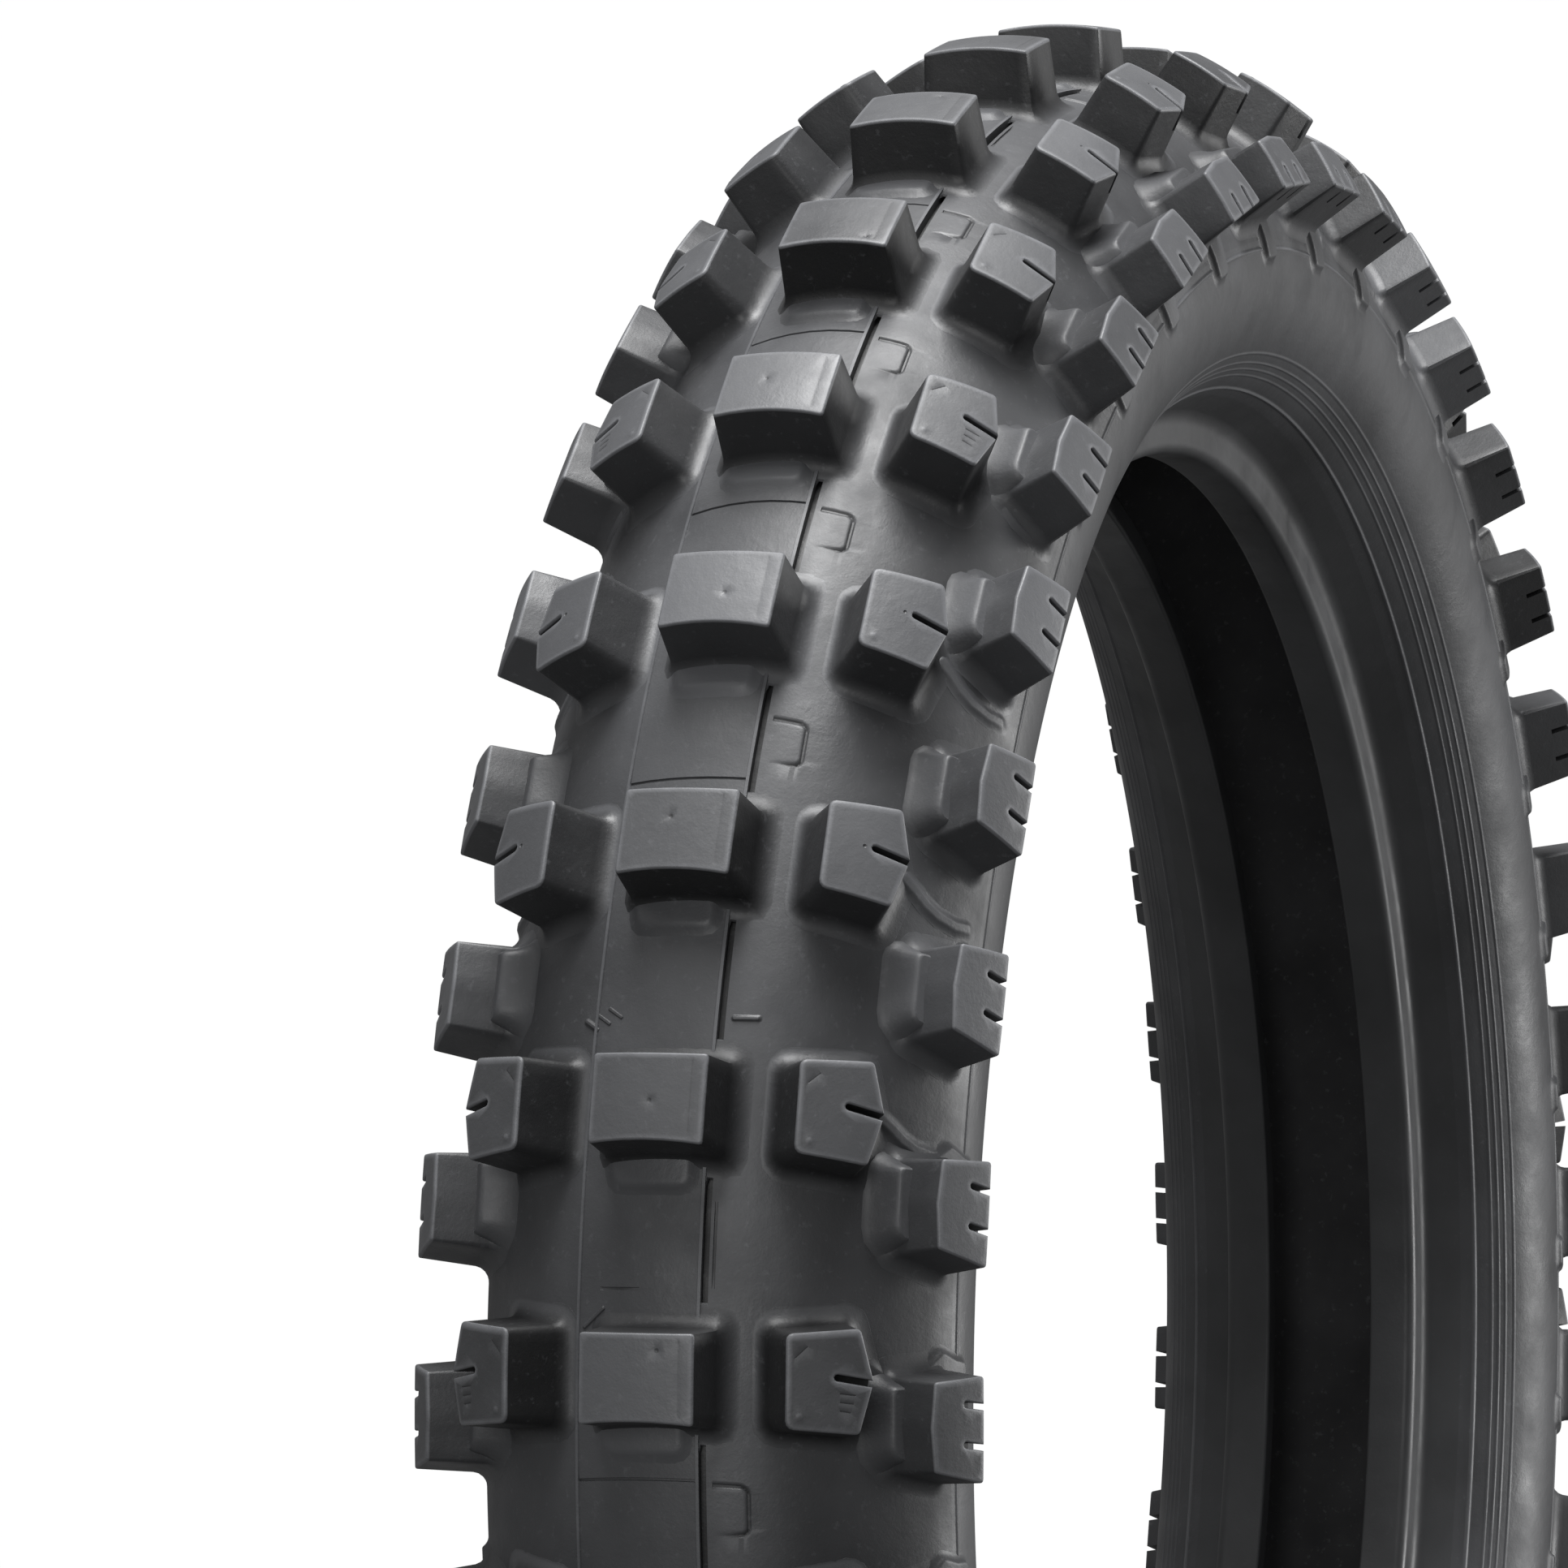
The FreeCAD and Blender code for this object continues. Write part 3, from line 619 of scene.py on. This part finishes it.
# Raised lines on the side rubber: how far from the tread's edge, width and height. The first is
# the mould's step, the last the line that shows whether the tyre sits true on its rim.
SIDE_LINES = [(2.2, 1.6, 0.30), (30.0, 1.2, 0.22), (33.0, 1.0, 0.20), (35.2, 1.0, 0.20),
              (37.4, 1.0, 0.20), (42.6, 1.5, 0.42)]


def sidewall_ring():
    """Side rubber with raised circle lines."""
    theta = np.linspace(TREAD_EDGE, SKIN_RUN, 230)
    run = (theta - TREAD_EDGE) * SIDE_ARC
    height = np.zeros(len(run))
    for middle, width, rise in SIDE_LINES:
        height += bump_line(run, middle, width, rise)
    outer = np.stack(skin(theta, height), 1)
    inner = np.stack(skin(theta[::12], -SIDE_THICKNESS), 1)
    # painted highlight along the tops of the raised lines
    painted_highlight = np.concatenate([np.clip(height * 2.2, 0, 1), np.zeros(len(inner))])
    return lathe(np.concatenate([outer, inner[::-1]]), painted_highlight)


def chafer_ring():
    """Hard rubber at the rim: flange hollow, heel, seat and toe."""
    run_end = arc_points(SIDE_CENTRE, SIDE_ARC, SKIN_RUN, SKIN_RUN, 1)
    hollow = arc_points(HOLLOW_CENTRE, HOLLOW_RADIUS, SKIN_RUN - math.pi, -math.pi / 2, 12)
    heel_centre = (SEAT + HEEL_RADIUS, HEEL - HEEL_RADIUS)
    toe_centre = (SEAT + TOE_RADIUS, TOE + TOE_RADIUS)
    heel = arc_points(heel_centre, HEEL_RADIUS, math.pi / 2, math.pi, 10)
    toe = arc_points(toe_centre, TOE_RADIUS, math.pi, 1.5 * math.pi, 8)
    return lathe(np.concatenate([run_end, hollow, heel, toe, [TOE_TOP, LINER_FOOT, *CHAFER_BACK]]))


def liner_ring():
    """The airtight lining, bead to bead."""
    halves = []
    for out, foot in ((0.0, LINER_FOOT), (LINER_THICKNESS, LINER_FOOT_BACK)):
        crown = arc_points(CAVITY_CROWN, CAVITY_CROWN_ARC + out, 0.0, CAVITY_JOIN, 24)
        side = arc_points(CAVITY_SIDE, CAVITY_SIDE_ARC + out, CAVITY_JOIN, CAVITY_RUN, 40)
        halves.append(np.concatenate([crown, side[1:], [foot]]))
    face, back = halves
    inner = np.concatenate([face[::-1], face[1:] * (1, -1)])
    outer = np.concatenate([back[1:][::-1] * (1, -1), back])
    return lathe(np.concatenate([inner, outer]))


# ---------------------------------------------------------------- the skin under the blocks

# Places across run from the centre plane to the right and places along from a row's own middle
# backwards round the wheel. Six kinds of row follow one another and differ in their mould lines.
PITCH = math.tau * (CROWN_CENTRE + BASE_ARC) / CENTRE_ROWS
GAP_START = -20.0
KINDS = 6
LENS_KIND, SECOND_KIND = 0, 2  # brackets are on the kinds from SECOND_KIND on, inserts on later ones
GROOVE_AT, GROOVE_WIDTH, GROOVE_DEPTH = 10.1, 1.5, 2.0
BAND_LEFT, BAND_RIGHT, BAND_HEIGHT = -21.0, 9.3, 0.35
LIP, LIP_RISE = 0.8, 0.3
BRACKET_OUT, BRACKET_LOW, BRACKET_HIGH = 20.3, 24.4, 35.0
BRACKET_MIDDLE, BRACKET_HALF = (BRACKET_HIGH + BRACKET_LOW) / 2, (BRACKET_HIGH - BRACKET_LOW) / 2
BRACKET_WIDTH, BRACKET_ROUND, BRACKET_HOOK, BRACKET_ARM = 1.4, 1.8, 3.5, GROOVE_AT + 2.2
INSERT_AT, SECOND_AT, SECOND_START, SECOND_END = PITCH - 23.6, 19.6, -14.0, -5.0
LENS_AT, LENS_LOW, LENS_HIGH = 12.0, 21.0, 38.2
FINE, FINE_DEPTH = 0.6, 0.45
BRACKET_DEPTH = 1.3 * FINE_DEPTH
INSERT_BOW, BOW_LENGTH = 1.1, 4.0
VALLEY_START, VALLEY_LENGTH = 14.0, 24.0
SKIN_COLUMNS, SKIN_LINES, SKIN_BACK_COLUMNS, WALL_HALF = 33, 12, 10, 0.06


def edge_lines(places, width):
    """Grid lines either side of thin lines' borders, so that their walls are steep."""
    return np.concatenate([[place - width / 2 - WALL_HALF, place - width / 2 + WALL_HALF,
                            place + width / 2 - WALL_HALF, place + width / 2 + WALL_HALF]
                           for place in places])


def bracket_distance(place, along):
    """How far points lie from the line of a square bracket with rounded corners, open inwards."""
    over = np.abs(along - BRACKET_MIDDLE) - (BRACKET_HALF - BRACKET_ROUND)
    beyond = place - (BRACKET_OUT - BRACKET_ROUND)
    corner = np.hypot(np.maximum(over, 0), np.maximum(beyond, 0))
    away = np.abs(corner + np.minimum(np.maximum(over, beyond), 0) - BRACKET_ROUND)
    start = np.where(along > BRACKET_MIDDLE, BRACKET_ARM, BRACKET_OUT - BRACKET_HOOK)
    return np.where(place > start, away, 1.0)


def between(value, low, high):
    """Where a value lies between two others."""
    return (value > low) & (value < high)


def tread_skin():
    """The skin between the blocks, with its parting groove, centre band and mould lines."""
    edge_run = TREAD_EDGE * BASE_ARC
    corner = np.arange(-BRACKET_ROUND - 0.8, 1.0, 0.4)
    lip_middles = [BAND_LEFT + LIP / 2, BAND_RIGHT - LIP / 2]
    across = np.unique(np.concatenate([
        np.linspace(-edge_run, edge_run, SKIN_COLUMNS), edge_lines([GROOVE_AT], GROOVE_WIDTH),
        edge_lines([LENS_AT], FINE), edge_lines(lip_middles, LIP), BRACKET_OUT + corner]))
    local = np.unique(np.concatenate([
        GAP_START + np.linspace(0, PITCH, SKIN_LINES + 1)[:-1],
        edge_lines([INSERT_AT, SECOND_AT], FINE), BRACKET_HIGH + corner, BRACKET_LOW - corner]))
    rows, along = np.meshgrid(np.arange(CENTRE_ROWS), local, indexing="ij")
    rows, along = rows.ravel()[:, None], along.ravel()[:, None]
    place = across[None]
    bow = INSERT_BOW * np.clip(1 - (place / BAND_LEFT) ** 2, 0, 1)
    bow = bow * np.exp(-((along - INSERT_AT) / BOW_LENGTH) ** 2)
    phi = (rows + (along + bow) / PITCH) * math.tau / CENTRE_ROWS

    height = np.where(between(place, BAND_LEFT, BAND_RIGHT), BAND_HEIGHT, 0.0) + 0 * along
    lips = between(place, BAND_LEFT, BAND_LEFT + LIP) | between(place, BAND_RIGHT - LIP, BAND_RIGHT)
    height = np.where(lips, BAND_HEIGHT + LIP_RISE, height)
    height = np.where(np.abs(place - GROOVE_AT) < GROOVE_WIDTH / 2, -GROOVE_DEPTH, height)
    kind = rows % KINDS
    bracket = np.clip(1 - bracket_distance(place, along) / (BRACKET_WIDTH / 2), 0, 1)
    height = np.where((kind >= SECOND_KIND) & (bracket > 0), -BRACKET_DEPTH * bracket, height)
    lens = (kind == LENS_KIND) & between(along, LENS_LOW, LENS_HIGH)
    height = np.where(lens & (np.abs(place - LENS_AT) < FINE / 2), -FINE_DEPTH, height)
    insert = (kind > SECOND_KIND) & (np.abs(along - INSERT_AT) < FINE / 2)
    short = (kind == LENS_KIND) & between(place, SECOND_START, SECOND_END)
    second = ((kind == SECOND_KIND) | short) & (np.abs(along - SECOND_AT) < FINE / 2)
    on_band = between(place, BAND_LEFT + LIP, BAND_RIGHT - LIP)
    height = np.where(on_band & (insert | second), BAND_HEIGHT - FINE_DEPTH, height)

    theta = np.broadcast_to(place / BASE_ARC, height.shape)
    outer = on_skin(np.broadcast_to(phi, height.shape), theta, height)
    back_theta = np.linspace(TREAD_EDGE, -TREAD_EDGE, SKIN_BACK_COLUMNS)
    inner = on_skin(phi[:, :1], back_theta[None], -SKIN_THICKNESS)
    grid = np.concatenate([outer, inner], 1)
    lines, count = grid.shape[:2]
    front = slice(0, len(across))
    painted_highlight, tone = np.zeros((lines, count)), np.zeros((lines, count))
    # painted highlight on the raised lips of the centre band
    painted_highlight[:, front] = np.clip((height - BAND_HEIGHT) * 2.0, 0, 1)
    # The skin is lighter at the crown and painted with shade towards the valleys; grooves are
    # painted darker, as shade in them.
    valley = np.clip((np.abs(across) - VALLEY_START) / VALLEY_LENGTH, 0, 1)
    skin_shade = CROWN_TONE + (VALLEY_SHADE - CROWN_TONE) * valley
    tone[:, front] = np.clip(height * 2.0, -1.5, 0.0) + skin_shade
    return Patch(grid.reshape(-1, 3), ring_faces(lines, count), painted_highlight.ravel(), tone.ravel())


def skin_ribs():
    """Short raised mould lines and ripples on the skin, one patch for each kind of row."""
    level = ridge([(12.4, 21.6), (18.4, 21.9)], 1.6, 0.5, 0.0)
    ripples = []
    for step in range(3):
        start, end = (-23.6 + 3.0 * step, 21.4 + 1.3 * step), (-19.6 + 3.0 * step, 18.8 + 1.3 * step)
        ripples.append(ridge([start, end], 1.7, 0.6, 0.0))
    slant = ridge([(-19.0, 10.6), (-13.6, 15.4)], 1.8, 0.7, 0.0)
    short = ridge([(-17.5, 14.0), (-14.5, 16.0)], 1.4, 0.5, 0.0)
    return [slant, join([level, *ripples])] + [short] * (KINDS - 2)


# ---------------------------------------------------------------- materials

def new_material(name, colour, roughness):
    """A principled material, its node tree and its shader."""
    material = bpy.data.materials.new(name)
    material.use_nodes = True
    tree = material.node_tree
    shader = tree.nodes["Principled BSDF"]
    shader.inputs["Base Color"].default_value = (*colour, 1.0)
    shader.inputs["Roughness"].default_value = roughness
    return material, tree, shader


def add(tree, kind, inputs=None, **settings):
    """Adds a node; its inputs are other nodes' outputs or plain values."""
    node = tree.nodes.new(kind)
    for key, value in settings.items():
        setattr(node, key, value)
    for key, value in (inputs or {}).items():
        if isinstance(value, bpy.types.NodeSocket):
            tree.links.new(value, node.inputs[key])
        else:
            node.inputs[key].default_value = value
    return node


def noise(tree, where, scale, detail=4.0, rough=0.55):
    """A cloudy pattern from 0 to 1."""
    inputs = {"Vector": where, "Scale": scale, "Detail": detail, "Roughness": rough}
    return add(tree, "ShaderNodeTexNoise", inputs).outputs["Fac"]


def ramp(tree, value, low, high, start=0.0, end=1.0):
    """Spreads a value from one range to another, and keeps it inside."""
    inputs = {"Value": value, "From Min": low, "From Max": high, "To Min": start, "To Max": end}
    return add(tree, "ShaderNodeMapRange", inputs).outputs["Result"]


def mix(tree, share, first, second):
    """Blends two colours; a share of 0 is the first."""
    node = add(tree, "ShaderNodeMix", data_type="RGBA")
    for index, value in ((0, share), (6, first), (7, second)):
        socket = node.inputs[index]
        if isinstance(value, bpy.types.NodeSocket):
            tree.links.new(value, socket)
        elif isinstance(value, tuple):
            socket.default_value = (*value, 1.0)
        else:
            socket.default_value = value
    return node.outputs[2]


def times(colour, factor):
    """A colour made lighter or darker."""
    return tuple(channel * factor for channel in colour)


def rubber(name, colour, roughness, dust=0.25, grain=1.0):
    """Moulded rubber: cloudy colour and gloss, fine grain, painted highlights on edges, specks of
    dust.

    The mesh's painted_highlight lightens its edges as if lit, and its tone paints shade and
    light into it along with a random tone."""
    material, tree, shader = new_material(name, colour, roughness)
    where = add(tree, "ShaderNodeTexCoord").outputs["Object"]
    painted_highlight = add(tree, "ShaderNodeAttribute", attribute_name="painted_highlight").outputs["Fac"]
    tone = add(tree, "ShaderNodeAttribute", attribute_name="tone").outputs["Fac"]
    pale = times(colour, 3.0)
    clouds = ramp(tree, noise(tree, where, 22.0), 0.3, 0.7)
    base = mix(tree, clouds, times(colour, 0.72), times(colour, 1.45))
    # painted shade where the mark is below 0, painted light where it is above 0
    shaded = mix(tree, ramp(tree, tone, -1.5, 0.0, 1.0, 0.0), base, times(colour, 0.12))
    lit_and_toned = mix(tree, ramp(tree, tone, 0.0, 1.0), shaded, times(colour, 2.2))
    specks = ramp(tree, noise(tree, where, 420.0, 3.0, 0.7), 0.60, 0.74, 0.0, dust)
    dusty = mix(tree, specks, lit_and_toned, pale)
    uneven = ramp(tree, noise(tree, where, 160.0), 0.3, 0.6, 0.5, 1.0)
    edge = add(tree, "ShaderNodeMath", {0: painted_highlight, 1: uneven}, operation="MULTIPLY").outputs[0]
    # painted highlight on edges and raised lines, broken up by noise
    highlighted = mix(tree, ramp(tree, edge, 0.0, 1.0, 0.0, 0.8), dusty, pale)
    tree.links.new(highlighted, shader.inputs["Base Color"])
    patches = noise(tree, where, 60.0, 5.0)
    tree.links.new(ramp(tree, patches, 0.3, 0.7, roughness - 0.10, roughness + 0.12),
                   shader.inputs["Roughness"])
    fine = noise(tree, where, 1500.0, 3.0, 0.6)
    coarse = noise(tree, where, 260.0, 4.0, 0.6)
    first = add(tree, "ShaderNodeBump", {"Height": coarse, "Strength": 0.35 * grain,
                                         "Distance": 0.00035})
    second = add(tree, "ShaderNodeBump", {"Height": fine, "Strength": 0.35 * grain,
                                          "Distance": 0.00012, "Normal": first.outputs["Normal"]})
    tree.links.new(second.outputs["Normal"], shader.inputs["Normal"])
    return material


def cord_fabric():
    """Rubber-coated cord cloth: parallel cords at a slant, with the rubber showing between them."""
    material, tree, shader = new_material("cord_fabric", (0.30, 0.27, 0.22), 0.7)
    where = add(tree, "ShaderNodeTexCoord").outputs["Object"]
    cords = add(tree, "ShaderNodeTexWave", {"Vector": where, "Scale": 180.0, "Distortion": 1.5,
                                            "Detail": 2.0}, bands_direction="DIAGONAL")
    colour = mix(tree, cords.outputs["Fac"], (0.10, 0.09, 0.08), (0.34, 0.31, 0.25))
    tree.links.new(colour, shader.inputs["Base Color"])
    bump = add(tree, "ShaderNodeBump", {"Height": cords.outputs["Fac"], "Strength": 0.6,
                                        "Distance": 0.0004})
    tree.links.new(bump.outputs["Normal"], shader.inputs["Normal"])
    return material


def bead_steel():
    """Bronze-coated wire, drawn along its length."""
    material, tree, shader = new_material("bead_steel", (0.62, 0.55, 0.42), 0.35)
    shader.inputs["Metallic"].default_value = 1.0
    where = add(tree, "ShaderNodeTexCoord").outputs["Object"]
    streaks = noise(tree, where, 700.0, 3.0)
    colour = mix(tree, streaks, (0.50, 0.42, 0.30), (0.70, 0.62, 0.48))
    tree.links.new(colour, shader.inputs["Base Color"])
    tree.links.new(ramp(tree, streaks, 0.3, 0.7, 0.25, 0.5), shader.inputs["Roughness"])
    return material


# ---------------------------------------------------------------- pieces

def make_piece(name, patch, material, slot, *nodes):
    """Makes a piece that replaces CAD nodes, in metres, smooth except where it turns sharply."""
    mesh = bpy.data.meshes.new(name)
    mesh.from_pydata((patch.points * MM).tolist(), [], patch.faces)
    for mark, values in (("painted_highlight", patch.painted_highlight), ("tone", patch.tone)):
        attribute = mesh.attributes.new(mark, "FLOAT", "POINT")
        attribute.data.foreach_set("value", values.astype(np.float32))
    mesh.materials.append(material)
    mesh.shade_smooth()
    mesh.set_sharp_from_angle(angle=SHARP_ANGLE)
    mesh.update()
    piece = bpy.data.objects.new(name, mesh)
    bpy.context.scene.collection.objects.link(piece)
    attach(piece, "root")
    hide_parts(*nodes)


tread_rubber = rubber("tread_rubber", (0.045, 0.046, 0.049), 0.50)
side_rubber = rubber("side_rubber", (0.042, 0.043, 0.046), 0.48)
bead_rubber = rubber("bead_rubber", (0.035, 0.036, 0.038), 0.45, dust=0.1, grain=0.6)
liner_rubber = rubber("liner_rubber", (0.10, 0.10, 0.105), 0.7, dust=0.5)
finishes = {"cord_fabric": cord_fabric(), "bead_steel": bead_steel(), "bead_rubber": bead_rubber}

under_blocks = join([tread_skin(), round_axle(skin_ribs(), CENTRE_ROWS)])
make_piece("tread_base_skin", under_blocks, tread_rubber, "tread_rubber", "tread_base")
centre = round_axle([centre_block(pip) for pip in CENTRE_PIPS], CENTRE_ROWS)
make_piece("centre_tread_blocks", centre, tread_rubber, "tread_rubber", "centre_blocks")
middle = round_axle([middle_block(marks) for marks in middle_marks()], CENTRE_ROWS)
shoulder = round_axle([shoulder_block()], SHOULDER_ROWS, SHOULDER_LAG)
side_ring, bead_ring = sidewall_ring(), chafer_ring()
for side, place in (("right", lambda patch: patch), ("left", mirrored)):
    make_piece(f"middle_tread_blocks_{side}", place(middle), tread_rubber, "tread_rubber",
               f"middle_blocks_{side}")
    make_piece(f"shoulder_tread_blocks_{side}", place(shoulder), tread_rubber, "tread_rubber",
               f"shoulder_blocks_{side}")
    make_piece(f"side_rubber_{side}", place(side_ring), side_rubber, "side_rubber",
               f"sidewall_{side}")
    make_piece(f"bead_chafer_{side}", place(bead_ring), bead_rubber, "bead_rubber",
               f"chafer_{side}")
make_piece("airtight_liner", liner_ring(), liner_rubber, "liner_rubber", "inner_liner")

for row in frame["record"]["subparts"]:
    node = frame["nodes"][row["node"]]
    if not node.hide_render:
        node.data.materials.clear()
        node.data.materials.append(finishes[row["material_slot"]])


# ---------------------------------------------------------------- stage, light and camera

def area_light(name, place, aim, size, power):
    """A white rectangular light, aimed at a point."""
    light = bpy.data.lights.new(name, "AREA")
    light.shape = "RECTANGLE"
    light.size, light.size_y = size
    light.energy = power
    lamp = bpy.data.objects.new(name, light)
    lamp.location = place
    lamp.rotation_euler = (Vector(aim) - Vector(place)).to_track_quat("-Z", "Y").to_euler()
    bpy.context.scene.collection.objects.link(lamp)


def plain_material(name, colour, glow=0.0):
    """A matt material, with a white glow if it is given one."""
    material, _, shader = new_material(name, colour, 0.8)
    shader.inputs["Emission Color"].default_value = (1.0, 1.0, 1.0, 1.0)
    shader.inputs["Emission Strength"].default_value = glow
    return material


def floor_and_backdrop():
    """A pale floor under the tyre and a white shell that only the camera sees."""
    bpy.ops.mesh.primitive_circle_add(vertices=96, radius=3.0, fill_type="NGON",
                                      location=(0, 0, cad_box[0].z - 0.0005))
    floor = bpy.context.object
    floor.name = "floor"
    floor.data.materials.append(plain_material("pale_floor", (0.86, 0.86, 0.86)))
    floor.visible_diffuse = False
    floor.visible_glossy = False
    bpy.ops.mesh.primitive_uv_sphere_add(segments=48, ring_count=24, radius=14.0)
    shell = bpy.context.object
    shell.name = "backdrop"
    shell.data.materials.append(plain_material("white_backdrop", (0.0, 0.0, 0.0), glow=1.0))
    for kind in ("diffuse", "glossy", "transmission", "shadow", "volume_scatter"):
        setattr(shell, f"visible_{kind}", False)


# Lights: place and aim in metres, size in metres, power in watts.
LIGHTS = {
    "key_above": ((0.3, 0.2, 2.4), (0.1, 0.0, 0.1), (1.2, 1.2), 84.0),
    "key_front": ((1.15, 0.05, 2.1), (0.2, 0.0, 0.1), (0.9, 0.9), 27.0),
    "front_fill": ((2.7, 0.2, 0.3), (0.2, 0.0, 0.0), (1.0, 1.0), 16.0),
    "left_fill": ((1.4, -1.0, 1.5), (0.2, 0.0, 0.0), (0.9, 0.9), 3.0),
    "right_edge": ((-1.25, 1.85, 0.2), (0.25, 0.05, 0.0), (0.5, 1.6), 40.0),
}
SKY_STRENGTH = 0.2


def studio():
    """A dim white sky and soft area lights, brightest above."""
    world = bpy.data.worlds.new("studio")
    world.use_nodes = True
    background = world.node_tree.nodes["Background"]
    background.inputs["Color"].default_value = (1.0, 1.0, 1.0, 1.0)
    background.inputs["Strength"].default_value = SKY_STRENGTH
    bpy.context.scene.world = world
    bpy.context.scene.view_settings.view_transform = "Standard"
    for name, (place, aim, size, power) in LIGHTS.items():
        area_light(name, place, aim, size, power)


# The camera: a long lens at the front right, a little above the axle.
LENS_MM, SENSOR_MM, CAMERA_ROLL = 202.5, 36.0, math.radians(-0.673)
CAMERA_PLACE, CAMERA_AHEAD = (2.1666, 0.6600, 0.0575), (-0.94532, -0.32392, 0.03803)


def camera():
    """Looks at the tread from the front and the right, with the wheel's upper front in view."""
    data = bpy.data.cameras.new("camera")
    data.lens = LENS_MM
    data.sensor_width = SENSOR_MM
    data.clip_end = 60.0
    lens = bpy.data.objects.new("camera", data)
    ahead = Vector(CAMERA_AHEAD)
    roll = Matrix.Rotation(CAMERA_ROLL, 4, ahead)
    level = ahead.to_track_quat("-Z", "Y").to_matrix().to_4x4()
    lens.matrix_world = Matrix.Translation(CAMERA_PLACE) @ roll @ level
    bpy.context.scene.collection.objects.link(lens)
    bpy.context.scene.camera = lens


floor_and_backdrop()
studio()
camera()
